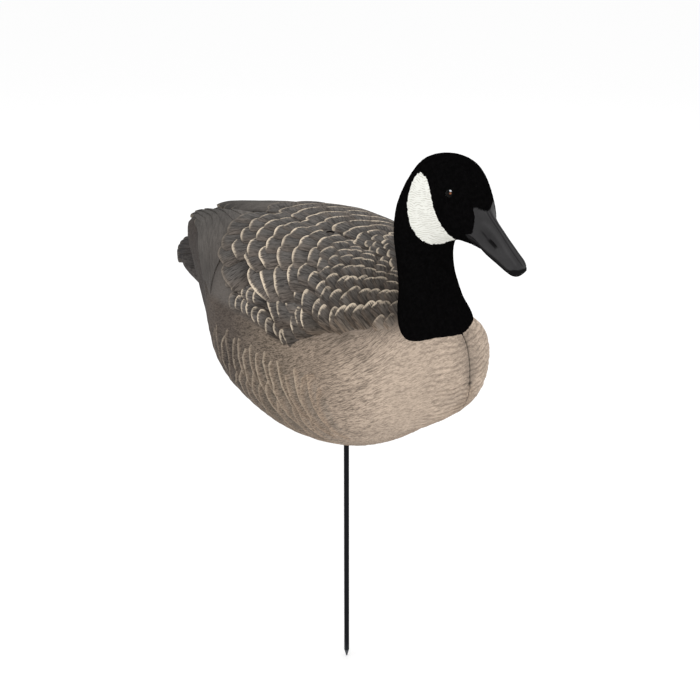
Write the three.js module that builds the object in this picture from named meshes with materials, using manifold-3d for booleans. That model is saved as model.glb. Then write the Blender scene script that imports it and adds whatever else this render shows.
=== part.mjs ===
// A goose decoy in moulded and carved form: body with folded wings and tail, head with
// neck and bill, two set eyes, and the pointed stake that it stands on.
// Millimetres. The stake's point is the origin, the stake's axis is +Z, the bill is towards +X
// and the goose's left side is +Y. The whole is symmetric about the plane y = 0.
import * as THREE from "three";
import { mergeVertices } from "three/addons/utils/BufferGeometryUtils.js";
import Module from "manifold-3d";

const wasm = await Module();
wasm.setup();

const BODY_FRONT = 189; // from the stake's axis to the breast
const BODY_REAR = 252; // from the stake's axis to the tips of the folded wings
const BODY_HEIGHT = 244; // belly to back
const BODY_HALF_WIDTH = 143; // at the widest, over the wings
const BELLY_Z = 356; // how far the belly is above the stake's point

const NECK_X = 140; // middle of the neck where it leaves the body
const NECK_Z = BELLY_Z + 0.7 * BODY_HEIGHT; // height of that place
const HEAD_HEIGHT = 200; // neck base to crown
const NECK_CLEARANCE = 0.35;

const STAKE_RADIUS = 3.25;
const STAKE_POINT = 10; // length of the cone
const STAKE_FLAT_RADIUS = 0.8;
const STAKE_IN_BODY = 150; // how far it reaches up inside the body
const SOCKET_CLEARANCE = 0.5;
const CUT_BEYOND = 20; // how far a cutting tool reaches out of the surface

const EYE_RADIUS = 5.2;
const EYE_OUT = 1.7; // how far the eye stands out of its lid
const EYE_CLEARANCE = 0.35;

const HANGING_HOLE_RADIUS = 3.6;
const HANGING_HOLE_DEPTH = 16;
const HANGING_HOLE_X = -26;

const TAIL_PIVOT_X = -112; // the tail feathers fan out from here
const TAIL_LENGTH = 171;
const TAIL_FEATHERS = 11;
const TAIL_FAN_ANGLE = 16.5; // degrees, from the middle of the tail to its edge
const TAIL_STEP = 1.3; // how far each feather stands over the next one out
const TAIL_ROOT_THICKNESS = 16;
const TAIL_END_THICKNESS = 5.5;
const TAIL_ARCH = 13; // how far the fan's edges hang below its middle at the end

const FEATHER_ROWS = [0.15, -0.04, -0.21, -0.37, -0.51]; // free edges, shares of BODY_REAR
const FEATHER_UNDER = 1.2; // a row's height over the skin where the row before covers it
const FEATHER_OVER = 3.4; // and at its own free edge
const FEATHERS_ACROSS = 5; // in each row, from the back down to the flank
const LONG_FEATHERS = 4;
const FEATHER_END = 13; // how far the rounded ends of a row reach back
const LONG_FEATHER_START = 22; // behind the last row
const WING_VALLEY = 15; // depth of the valley between the folded wings

// Body stations: along (share of BODY_REAR behind the stake, of BODY_FRONT before it), top and
// bottom (shares of BODY_HEIGHT), half width (share of BODY_HALF_WIDTH), roundness of the
// section above and below its middle (1 is an ellipse, less is squarer).
const BODY_STATIONS = [
  [-1.0, 0.865, 0.78, 0.09, 0.8, 0.9],
  [-0.93, 0.91, 0.725, 0.3, 0.72, 0.9],
  [-0.78, 0.945, 0.55, 0.465, 0.67, 0.9],
  [-0.55, 0.98, 0.34, 0.71, 0.6, 0.9],
  [-0.28, 0.99, 0.15, 0.985, 0.6, 0.9],
  [0.0, 0.98, 0.02, 0.98, 0.65, 0.9],
  [0.25, 0.94, 0.0, 0.86, 0.73, 0.9],
  [0.5, 0.86, 0.07, 0.745, 0.9, 0.88],
  [0.72, 0.785, 0.195, 0.615, 1.12, 0.9],
  [0.88, 0.74, 0.285, 0.44, 0.94, 0.9],
  [0.97, 0.655, 0.365, 0.225, 1.0, 0.9],
  [1.0, 0.49, 0.465, 0.03, 1.0, 0.9],
];
const BODY_MIDDLE = 0.47; // height of the widest line in each section, as a share of it

// Head stations, all as shares of HEAD_HEIGHT from the middle of the neck's base:
// the line over nape, crown and bill (x, z), the line under throat, chin and bill (x, z),
// half width, roundness.
const HEAD_STATIONS = [
  [-0.15, -0.04, 0.12, -0.12, 0.19, 1.15],
  [-0.21, 0.06, 0.185, -0.02, 0.26, 1.15],
  [-0.215, 0.225, 0.115, 0.12, 0.2, 1.0],
  [-0.245, 0.39, 0.06, 0.27, 0.175, 1.0],
  [-0.275, 0.535, 0.045, 0.4, 0.17, 1.0],
  [-0.265, 0.68, 0.07, 0.5, 0.165, 1.0],
  [-0.205, 0.825, 0.125, 0.545, 0.16, 1.0],
  [-0.105, 0.95, 0.17, 0.555, 0.16, 1.0],
  [0.035, 1.0, 0.215, 0.555, 0.16, 1.0],
  [0.17, 0.985, 0.26, 0.55, 0.145, 1.0],
  [0.265, 0.88, 0.305, 0.535, 0.105, 1.0],
  [0.32, 0.75, 0.35, 0.505, 0.075, 0.92],
  [0.41, 0.66, 0.41, 0.475, 0.06, 0.9],
  [0.495, 0.58, 0.47, 0.45, 0.055, 0.85],
  [0.55, 0.53, 0.515, 0.44, 0.05, 0.85],
  [0.575, 0.49, 0.54, 0.45, 0.02, 1.0],
];

const WING_COLUMNS = 20;
const FLANK_COLUMNS = 10;
const HEAD_RINGS = 38;
const HEAD_SIDES = 24;

const clamp = (v, lo, hi) => Math.min(hi, Math.max(lo, v));
const lerp = (a, b, t) => a + (b - a) * t;
const smooth = (a, b, v) => {
  const t = clamp((v - a) / (b - a), 0, 1);
  return t * t * (3 - 2 * t);
};

// A smooth curve through the rows of a table, at x on its first column.
function curveThrough(rows, x) {
  const n = rows.length;
  const slope = (i, c) => (rows[i + 1][c] - rows[i][c]) / (rows[i + 1][0] - rows[i][0]);
  const span = (i) => rows[i + 1][0] - rows[i][0];
  const inner = (i, c) =>
    (slope(i - 1, c) * span(i) + slope(i, c) * span(i - 1)) / (span(i - 1) + span(i));
  const tangent = (i, c) => {
    if (i === 0) return 1.5 * slope(0, c) - 0.5 * inner(1, c);
    if (i === n - 1) return 1.5 * slope(n - 2, c) - 0.5 * inner(n - 2, c);
    return inner(i, c);
  };
  const at = clamp(x, rows[0][0], rows[n - 1][0]);
  let i = 0;
  while (i < n - 2 && at > rows[i + 1][0]) i++;
  const h = span(i);
  const t = (at - rows[i][0]) / h;
  return rows[i].map((_, c) => {
    if (c === 0) return at;
    return (
      (2 * t ** 3 - 3 * t ** 2 + 1) * rows[i][c] +
      (t ** 3 - 2 * t ** 2 + t) * h * tangent(i, c) +
      (-2 * t ** 3 + 3 * t ** 2) * rows[i + 1][c] +
      (t ** 3 - t ** 2) * h * tangent(i + 1, c)
    );
  });
}

// Six times the volume inside a list of triangles, less than zero where they face inwards.
function turning(points) {
  let sum = 0;
  for (let i = 0; i < points.length; i += 3)
    sum += points[i].dot(points[i + 1].clone().cross(points[i + 2]));
  return sum;
}

// A closed mesh that faces out, from rings of points, each end closed by a fan on its middle.
function skin(rings) {
  const sides = rings[0].length;
  const at = (i, k) => rings[i][((k % sides) + sides) % sides];
  const middle = (ring) =>
    ring.reduce((s, p) => s.add(p), new THREE.Vector3()).multiplyScalar(1 / sides);
  const points = [];
  const triangle = (a, b, c) => points.push(a, b, c);
  for (let i = 0; i + 1 < rings.length; i++)
    for (let k = 0; k < sides; k++) {
      triangle(at(i, k), at(i + 1, k), at(i, k + 1));
      triangle(at(i, k + 1), at(i + 1, k), at(i + 1, k + 1));
    }
  const last = rings.length - 1;
  const first = middle(rings[0]);
  const end = middle(rings[last]);
  for (let k = 0; k < sides; k++) {
    triangle(first, at(0, k), at(0, k + 1));
    triangle(end, at(last, k + 1), at(last, k));
  }
  if (turning(points) < 0) points.reverse();
  return new THREE.BufferGeometry().setFromPoints(points);
}

function solidFrom(geometry) {
  const plain = geometry.index ? geometry.toNonIndexed() : geometry;
  const bare = new THREE.BufferGeometry().setAttribute("position", plain.attributes.position);
  const merged = mergeVertices(bare, 1e-4);
  const mesh = new wasm.Mesh({
    numProp: 3,
    vertProperties: merged.attributes.position.array,
    triVerts: new Uint32Array(merged.index.array),
  });
  return new wasm.Manifold(mesh);
}

function geometryFrom(solid) {
  const mesh = solid.getMesh();
  const points = new Float32Array(mesh.numVert * 3);
  for (let i = 0; i < mesh.numVert; i++)
    points.set(mesh.vertProperties.subarray(i * mesh.numProp, i * mesh.numProp + 3), 3 * i);
  const geometry = new THREE.BufferGeometry();
  geometry.setAttribute("position", new THREE.BufferAttribute(points, 3));
  geometry.setIndex(new THREE.BufferAttribute(mesh.triVerts, 1));
  geometry.computeVertexNormals();
  return geometry;
}

// Stations are joined by the angle whose sine is the share, so that breast and rear end round.
const BODY_CURVE = BODY_STATIONS.map(([share, ...rest]) => [Math.asin(share), ...rest]);

// The body's section at x: heights of top and bottom, half width and roundness.
function bodySection(x) {
  const share = clamp(x < 0 ? x / BODY_REAR : x / BODY_FRONT, -1, 1);
  const [, top, bottom, width, above, below] = curveThrough(BODY_CURVE, Math.asin(share));
  return {
    top: BELLY_Z + top * BODY_HEIGHT,
    bottom: BELLY_Z + bottom * BODY_HEIGHT,
    width: Math.max(width * BODY_HALF_WIDTH, 1),
    above,
    below,
  };
}

// The folded wings meet in a valley along the back, deeper towards their tips and at most a
// third of the height that the section has there.
function valley(x, y, height) {
  const depth = WING_VALLEY * smooth(-0.42 * BODY_REAR, -0.96 * BODY_REAR, x);
  return Math.min(depth, height / 3) * Math.exp(-((y / (0.075 * BODY_HALF_WIDTH)) ** 2));
}

// Point of the body's skin at x and at an angle from the top of the back (90 is the side,
// 180 the belly), on side +1 (left) or -1 (right).
function bodyPoint(x, degrees, side) {
  const s = bodySection(x);
  const angle = THREE.MathUtils.degToRad(degrees);
  const c = Math.cos(angle);
  const round = c >= 0 ? s.above : s.below;
  const middle = lerp(s.bottom, s.top, BODY_MIDDLE);
  const y = side * s.width * Math.abs(Math.sin(angle)) ** round;
  const reach = Math.abs(c) ** round;
  const z = c >= 0 ? lerp(middle, s.top, reach) : lerp(middle, s.bottom, reach);
  const sunk = c >= 0 ? valley(x, y, s.top - s.bottom) * reach : 0;
  return new THREE.Vector3(x, y, z - sunk);
}

// The same point moved out of the skin by lift.
function liftedPoint(x, degrees, side, lift) {
  const p = bodyPoint(x, degrees, side);
  const along = bodyPoint(x + 1, degrees, side).sub(bodyPoint(x - 1, degrees, side));
  const around = bodyPoint(x, degrees + 1, side).sub(bodyPoint(x, degrees - 1, side));
  const out = along.cross(around).multiplyScalar(side).normalize();
  return p.addScaledVector(out, lift);
}

// Flank feathers stand a little proud below this line and cover the wing's lower edge.
const flankLine = (x) => 76 - 34 * smooth(0.08 * BODY_FRONT, 0.72 * BODY_FRONT, x);

// The last angle of the feathers of wing and shoulder at x: below it the flank covers them.
const wingEdge = (x) => flankLine(x) - 2;

// Rounded feather ends along an edge, as a share of their length.
const scallop = (share) => Math.abs(Math.sin(Math.PI * share)) ** 0.6;

// How far back the free edge of a feather row lies at a share of the way from the back's
// middle down to the flank. The rows curve forward towards the flank.
function rowEdge(number, share) {
  const phase = (number % 2) / 2;
  const forward = 8 + 14 * Math.max(0, number - 1);
  return -FEATHER_END * scallop(phase + share * FEATHERS_ACROSS) + forward * smooth(0.6, 1, share);
}

// The rings of the body from breast to rear: each has x, the rise of its feathers out of the
// skin and a shift of x along the ring. A row's free edge is two rings, one over the other.
function bodyRings() {
  const rings = [];
  const plain = (from, to, count, rise) => {
    const start = Math.asin(from < 0 ? from / BODY_REAR : from / BODY_FRONT);
    const end = Math.asin(to < 0 ? to / BODY_REAR : to / BODY_FRONT);
    for (let i = 0; i < count; i++) {
      const angle = lerp(start, end, i / count);
      const x = Math.sin(angle) * (angle < 0 ? BODY_REAR : BODY_FRONT);
      rings.push({ x, rise: rise(i / count), shift: () => 0 });
    }
  };
  const shoulder = 0.5 * BODY_FRONT;
  plain(BODY_FRONT, shoulder, 11, () => 0);
  rings.push({ x: shoulder, rise: 0, shift: () => 0 });
  let before = shoulder;
  FEATHER_ROWS.forEach((share, number) => {
    const edge = share * BODY_REAR;
    const last = number - 1;
    rings.push({
      x: lerp(before, edge, 0.5),
      rise: lerp(number ? FEATHER_UNDER : 0, FEATHER_OVER, 0.55),
      shift: (at) => (rowEdge(number, at) + (number ? rowEdge(last, at) : 0)) / 2,
    });
    const shift = (at) => rowEdge(number, at);
    rings.push({ x: edge, rise: FEATHER_OVER, shift });
    rings.push({ x: edge - 1, rise: FEATHER_UNDER, shift });
    before = edge;
  });
  const quill = (t) => FEATHER_UNDER * (1 - t);
  plain(before - LONG_FEATHER_START, -BODY_REAR, 11, quill);
  rings.push({ x: -BODY_REAR, rise: 0, shift: () => 0 });
  return rings;
}

// Long feathers of the folded wing, as steps across it that grow from nothing.
function longFeathers(x, share) {
  const part = (share * LONG_FEATHERS) % 1;
  const grown = smooth(-0.56 * BODY_REAR, -0.72 * BODY_REAR, x);
  return grown * (2.2 * part - 0.6) * smooth(-1.0 * BODY_REAR, -0.95 * BODY_REAR, x);
}

// The body's skin with its carved feathers. Columns of points run from the middle of the back
// over the wing to its lower edge, then over the flank to the belly.
function bodyShell() {
  const rings = bodyRings().map(({ x: plainX, rise, shift }) => {
    const half = [1, -1].map((side) => {
      const points = [];
      for (let j = 0; j <= WING_COLUMNS; j++) {
        const share = j / WING_COLUMNS;
        const x = plainX + shift(share);
        const degrees = lerp(2.5, wingEdge(x), share);
        points.push(liftedPoint(x, degrees, side, rise + longFeathers(x, share)));
      }
      const covered =
        smooth(-0.85 * BODY_REAR, -0.5 * BODY_REAR, plainX) * (1 - smooth(0.3, 0.6, plainX / BODY_FRONT));
      for (let j = 0; j < FLANK_COLUMNS; j++) {
        const share = j / FLANK_COLUMNS;
        const degrees = lerp(wingEdge(plainX) + 1.5, 180, share);
        points.push(liftedPoint(plainX, degrees, side, 2.6 * covered * (1 - smooth(0.1, 0.6, share))));
      }
      return points;
    });
    const middle = bodyPoint(plainX, 0, 1);
    const belly = bodyPoint(plainX, 180, 1);
    return [middle, ...half[0], belly, ...half[1].reverse()];
  });
  return solidFrom(skin(rings));
}

// The fan of tail feathers: the middle one is uppermost, and each next one out lies a step
// lower. The fan is arched, and its ends are rounded.
function tailFan() {
  const columns = 4;
  const steps = 7;
  const rings = [];
  for (let n = 0; n < TAIL_FEATHERS; n++)
    for (let k = 0; k <= columns; k++) {
      const at = (2 * (n + k / columns)) / TAIL_FEATHERS - 1;
      const angle = THREE.MathUtils.degToRad(TAIL_FAN_ANGLE * at);
      const rank = Math.abs(n - (TAIL_FEATHERS - 1) / 2);
      const bow = 1 - (2 * (k / columns) - 1) ** 2;
      const length = TAIL_LENGTH * (1 - 0.12 * Math.abs(at) ** 2.3) - 3 * (1 - bow ** 0.5);
      const top = [];
      const under = [];
      for (let i = 0; i <= steps; i++) {
        const t = lerp(0.35, 1, i / steps);
        const x = TAIL_PIVOT_X - t * length * Math.cos(angle);
        const y = t * length * Math.sin(angle);
        const arch = BELLY_Z + BODY_HEIGHT * lerp(0.785, 0.7, t) - TAIL_ARCH * t * Math.abs(at) ** 1.7;
        const step = t * (TAIL_STEP * (2.5 - rank) + 1.2 * bow);
        top.push(new THREE.Vector3(x, y, arch + step));
        under.push(new THREE.Vector3(x, y, arch - lerp(TAIL_ROOT_THICKNESS, TAIL_END_THICKNESS, t)));
      }
      rings.push([...top, ...under.reverse()]);
    }
  return solidFrom(skin(rings));
}

// The coverts above and below that the tail feathers come out of.
function tailRoot() {
  const stations = [
    [0.56, 0.74, 0.42, 0.48],
    [0.78, 0.72, 0.52, 0.45],
    [0.93, 0.685, 0.6, 0.37],
    [1.03, 0.67, 0.635, 0.24],
  ];
  const sides = 20;
  const rings = [];
  for (let i = 0; i <= 8; i++) {
    const share = lerp(stations[0][0], stations[3][0], i / 8);
    const [, top, bottom, width] = curveThrough(stations, share);
    const middle = BELLY_Z + BODY_HEIGHT * lerp(bottom, top, 0.6);
    const ring = [];
    for (let k = 0; k < sides; k++) {
      const angle = (2 * Math.PI * k) / sides;
      const reach = BODY_HEIGHT * (top - bottom) * (Math.sin(angle) > 0 ? 0.4 : 0.6);
      ring.push(
        new THREE.Vector3(
          -share * BODY_REAR,
          width * BODY_HALF_WIDTH * Math.cos(angle),
          middle + reach * Math.sin(angle),
        ),
      );
    }
    rings.push(ring);
  }
  return solidFrom(skin(rings));
}

// Neck, head and bill as one form, grown by a clearance where it is used as a cutter.
function headForm(grow) {
  const rows = HEAD_STATIONS.map((row, i) => [i, ...row]);
  const rings = [];
  for (let i = 0; i <= HEAD_RINGS; i++) {
    const at = lerp(0, rows.length - 1, i / HEAD_RINGS);
    const [, overX, overZ, underX, underZ, width, round] = curveThrough(rows, at);
    const over = new THREE.Vector2(overX, overZ).multiplyScalar(HEAD_HEIGHT);
    const under = new THREE.Vector2(underX, underZ).multiplyScalar(HEAD_HEIGHT);
    const spread = over.clone().sub(under).normalize().multiplyScalar(grow);
    over.add(spread);
    under.sub(spread);
    if (i === 0 && grow) {
      over.y -= grow;
      under.y -= grow;
    }
    const half = width * HEAD_HEIGHT + grow;
    const ring = [];
    for (let k = 0; k < HEAD_SIDES; k++) {
      const angle = (2 * Math.PI * k) / HEAD_SIDES;
      const s = Math.sin(angle);
      const c = Math.cos(angle);
      const share = 0.5 + 0.5 * Math.sign(s) * Math.abs(s) ** round;
      const p = under.clone().lerp(over, share);
      ring.push(
        new THREE.Vector3(
          NECK_X + p.x,
          half * Math.sign(c) * Math.abs(c) ** round,
          NECK_Z + p.y,
        ),
      );
    }
    rings.push(ring);
  }
  return solidFrom(skin(rings));
}

function ball(radius, at, stretch = [1, 1, 1], turn = 0) {
  const g = new THREE.SphereGeometry(radius, 12, 8);
  g.scale(...stretch);
  g.rotateY(turn);
  g.translate(at.x, at.y, at.z);
  return solidFrom(g);
}

function rod(profile) {
  const g = new THREE.LatheGeometry(
    profile.map(([r, z]) => new THREE.Vector2(r, z)),
    20,
  );
  g.rotateX(Math.PI / 2);
  return solidFrom(g);
}

// Where the eye's middle is on each side: on the cheek, sunk so that only EYE_OUT shows.
function eyeCentre(side) {
  return new THREE.Vector3(
    NECK_X + 0.165 * HEAD_HEIGHT,
    side * (0.147 * HEAD_HEIGHT + EYE_OUT - EYE_RADIUS),
    NECK_Z + 0.84 * HEAD_HEIGHT,
  );
}

function nostril(side) {
  const at = new THREE.Vector3(
    NECK_X + 0.404 * HEAD_HEIGHT,
    side * 0.06 * HEAD_HEIGHT,
    NECK_Z + 0.612 * HEAD_HEIGHT,
  );
  return ball(0.015 * HEAD_HEIGHT, at, [1.7, 0.9, 0.8], 0.62);
}

// Rod from z = low to z = high with a pointed or a plain lower end.
function stakeForm(grow, low) {
  const high = BELLY_Z + STAKE_IN_BODY + grow;
  const radius = STAKE_RADIUS + grow;
  const foot = grow
    ? [[radius, low]]
    : [
        [STAKE_FLAT_RADIUS, low],
        [radius, low + STAKE_POINT],
      ];
  return rod([[0, low], ...foot, [radius, high - 0.8], [radius - 0.8, high], [0, high]]);
}

function hangingHole() {
  const top = bodySection(HANGING_HOLE_X).top;
  const low = top - HANGING_HOLE_DEPTH;
  const high = top + CUT_BEYOND;
  const r = HANGING_HOLE_RADIUS;
  return rod([[0, low], [r, low], [r, high], [0, high]]).translate([HANGING_HOLE_X, 0, 0]);
}

function makeBody() {
  const whole = wasm.Manifold.union([bodyShell(), tailRoot(), tailFan()]);
  const cuts = [
    headForm(NECK_CLEARANCE),
    stakeForm(SOCKET_CLEARANCE, BELLY_Z - CUT_BEYOND),
    hangingHole(),
  ];
  return wasm.Manifold.difference([whole, ...cuts]);
}

function makeHead() {
  const sockets = [1, -1].map((side) => ball(EYE_RADIUS + EYE_CLEARANCE, eyeCentre(side)));
  return wasm.Manifold.difference([headForm(0), ...sockets, nostril(1), nostril(-1)]);
}

const FINISHES = {
  body: { color: 0x8a7f74, roughness: 0.85 },
  head_and_neck: { color: 0x0b0b0c, roughness: 1 },
  eye: { color: 0x1a100b, roughness: 0.1 },
  stake: { color: 0x26282b, metalness: 0.6, roughness: 0.5 },
};

function named(name, solid, finish) {
  const mesh = new THREE.Mesh(geometryFrom(solid), new THREE.MeshStandardMaterial(finish));
  mesh.name = name;
  return mesh;
}

function decoy() {
  const group = new THREE.Group();
  group.add(named("body", makeBody(), FINISHES.body));
  group.add(named("head_and_neck", makeHead(), FINISHES.head_and_neck));
  group.add(named("eye_left", ball(EYE_RADIUS, eyeCentre(1)), FINISHES.eye));
  group.add(named("eye_right", ball(EYE_RADIUS, eyeCentre(-1)), FINISHES.eye));
  group.add(named("stake", stakeForm(0, 0), FINISHES.stake));
  return group;
}

export default decoy();
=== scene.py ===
"""A goose decoy on a pointed ground stake: carved and painted body, flocked head, set eyes."""

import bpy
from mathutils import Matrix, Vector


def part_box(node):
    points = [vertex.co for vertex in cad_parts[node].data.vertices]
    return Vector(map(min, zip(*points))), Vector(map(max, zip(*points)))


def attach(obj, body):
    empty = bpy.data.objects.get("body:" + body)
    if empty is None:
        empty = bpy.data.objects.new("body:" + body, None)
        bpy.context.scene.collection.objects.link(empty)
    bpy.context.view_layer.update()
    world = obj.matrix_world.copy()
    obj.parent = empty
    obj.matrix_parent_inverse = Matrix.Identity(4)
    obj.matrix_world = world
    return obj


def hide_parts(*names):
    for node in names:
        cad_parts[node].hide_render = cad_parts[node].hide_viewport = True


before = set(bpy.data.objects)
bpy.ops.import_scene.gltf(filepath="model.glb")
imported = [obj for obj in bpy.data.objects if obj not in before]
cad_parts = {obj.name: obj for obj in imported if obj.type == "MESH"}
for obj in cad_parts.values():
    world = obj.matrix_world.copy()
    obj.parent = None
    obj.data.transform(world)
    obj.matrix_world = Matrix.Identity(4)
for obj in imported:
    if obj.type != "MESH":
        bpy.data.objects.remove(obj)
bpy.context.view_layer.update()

import logging
import math
from dataclasses import dataclass, field
from enum import Enum

import bpy
import numpy as np
from mathutils import Vector
from mathutils.bvhtree import BVHTree

Value = float | np.ndarray  # one number, or an array of them
MM = 0.001
RIGHT, LEFT = 1, -1  # the goose's own sides; chart distances are positive on its right
WIDTHS = {"points": 3, "paint": 3, "mark": 4, "flow": 3, "quill": 2}  # numbers for each point
TINTS = np.array([[0.95, 0.98, 1.0], [1.05, 1.0, 0.95]])  # at a feather's root and at its tip
HOLE_X = -26.0  # the hanging hole's place along the back
ALMOST_QUARTER = 0.4995 * math.pi  # a turn that stops just short of the form's two ends
log = logging.getLogger("goose_decoy")


def lerp(a: Value, b: Value, t: Value) -> Value:
    """Value a share t of the way from a to b."""
    return a + (b - a) * t


def smooth(low: Value, high: Value, value: Value) -> Value:
    """Smooth step from 0 at low to 1 at high."""
    t = np.clip((value - low) / (high - low), 0.0, 1.0)
    return t * t * (3.0 - 2.0 * t)


def bell(distance: Value, power: int = 2) -> Value:
    """Bell-shaped rise to 1 where the distance is 0."""
    return np.exp(-(distance**power))


def columns(*parts: Value) -> np.ndarray:
    """Numbers and arrays side by side on a new last axis."""
    return np.stack(np.broadcast_arrays(*parts), -1)


def between(knots: list[float], values: list, at: Value) -> Value:
    """Straight-line interpolation of numbers or colours.

    Args:
        knots: rising places.
        values: one number or colour for each place.
        at: the places asked for.

    Returns:
        Values of at's shape, with a last axis more where they are colours.
    """
    table = np.asarray(values, float)
    if table.ndim == 1:
        return np.interp(at, knots, table)
    return columns(*(np.interp(at, knots, channel) for channel in table.T))


def curve_through(rows: np.ndarray, at: np.ndarray) -> np.ndarray:
    """Smooth curve through the rows of a table.

    Args:
        rows: table whose first column rises.
        at: places on the first column.

    Returns:
        The other columns at those places, one row for each.
    """
    knots, values = rows[:, 0], rows[:, 1:]
    span = np.diff(knots)[:, None]
    slope = np.diff(values, axis=0) / span
    tangent = np.empty_like(values)
    tangent[1:-1] = (slope[:-1] * span[1:] + slope[1:] * span[:-1]) / (span[:-1] + span[1:])
    tangent[0] = 1.5 * slope[0] - 0.5 * tangent[1]
    tangent[-1] = 1.5 * slope[-1] - 0.5 * tangent[-2]
    at = np.clip(at, knots[0], knots[-1])
    i = np.clip(np.searchsorted(knots, at, side="right") - 1, 0, len(knots) - 2)
    h = span[i]
    t = ((at - knots[i]) / h[:, 0])[:, None]
    return (
        (2 * t**3 - 3 * t**2 + 1) * values[i]
        + (t**3 - 2 * t**2 + t) * h * tangent[i]
        + (3 * t**2 - 2 * t**3) * values[i + 1]
        + (t**3 - t**2) * h * tangent[i + 1]
    )


def grain(points: np.ndarray, seed: int) -> np.ndarray:
    """Smooth noise from 0 to 1 with cells of size 1.

    Args:
        points: places, with three coordinates on the last axis.
        seed: picks another pattern.

    Returns:
        One value for each place.
    """
    cell = np.floor(points).astype(np.int64)
    t = points - cell
    t = t * t * (3 - 2 * t)
    total = np.zeros(points.shape[:-1])
    for corner in range(8):
        step = np.array([corner & 1, corner >> 1 & 1, corner >> 2 & 1])
        c = cell + step
        mixed = c[..., 0] * 73856093 ^ c[..., 1] * 19349663 ^ c[..., 2] * 83492791 ^ seed * 2654435
        mixed = (mixed ^ (mixed >> 13)) * 1274126177
        value = ((mixed ^ (mixed >> 16)) & 0xFFFF) / 65535.0
        total += value * np.prod(np.where(step, t, 1 - t), axis=-1)
    return total


def square_to(around: np.ndarray, along: np.ndarray) -> np.ndarray:
    """Unit vectors square to two directions over a surface."""
    out = np.cross(around, along)
    return out / np.maximum(np.linalg.norm(out, axis=-1, keepdims=True), 1e-9)


def loft(rings: np.ndarray, flip: bool = False) -> tuple[np.ndarray, list]:
    """Join rings to a closed form, with a fan of faces over each end.

    Args:
        rings: points by ring and by place around.
        flip: True turns the faces the other way.

    Returns:
        The points, with the middles of both ends last, and the faces.
    """
    count, sides = rings.shape[:2]
    k = np.arange(sides)
    turn = np.roll(k, -1)
    if flip:
        k, turn = turn, k
    a = sides * np.arange(count - 1)[:, None]
    quads = columns(a + k, a + turn, a + sides + turn, a + sides + k).reshape(-1, 4)
    first = count * sides
    last = first - sides
    fans = np.concatenate([columns(turn, k, first), columns(last + k, last + turn, first + 1)])
    ends = [rings[0].mean(0), rings[-1].mean(0)]
    return np.concatenate([rings.reshape(-1, 3), ends]), quads.tolist() + fans.tolist()


def with_ends(values: np.ndarray, first: float, last: float) -> np.ndarray:
    """Values of a loft's rings, followed by those of its two end points."""
    return np.append(values.ravel(), [first, last])


def pigment(red: float, green: float, blue: float) -> np.ndarray:
    """Linear colour of a paint given as it looks on a screen, 0 to 255."""
    c = np.array([red, green, blue]) / 255.0
    return np.where(c <= 0.04045, c / 12.92, ((c + 0.055) / 1.055) ** 2.4)


def solid(red: float, green: float, blue: float) -> tuple:
    """The same with a fourth number, 1, as a colour socket takes it."""
    return (*pigment(red, green, blue), 1.0)


@dataclass
class Signal:
    """One value in a node tree; arithmetic on it adds Math nodes."""

    nodes: "Nodes"
    socket: bpy.types.NodeSocket

    def __add__(self, other: "Signal | float") -> "Signal":
        """Sum."""
        return self.nodes.math("ADD", self, other)

    def __sub__(self, other: "Signal | float") -> "Signal":
        """Difference."""
        return self.nodes.math("SUBTRACT", self, other)

    def __rsub__(self, other: float) -> "Signal":
        """Difference from a number."""
        return self.nodes.math("SUBTRACT", other, self)

    def __mul__(self, other: "Signal | float") -> "Signal":
        """Product."""
        return self.nodes.math("MULTIPLY", self, other)

    def ramp(self, low: float, high: float, start: float = 0.0, end: float = 1.0) -> "Signal":
        """Smooth step from start to end between low and high."""
        inputs = {"Value": self, "From Min": low, "From Max": high, "To Min": start, "To Max": end}
        return self.nodes.read("MapRange", 0, inputs, interpolation_type="SMOOTHSTEP")


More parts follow.
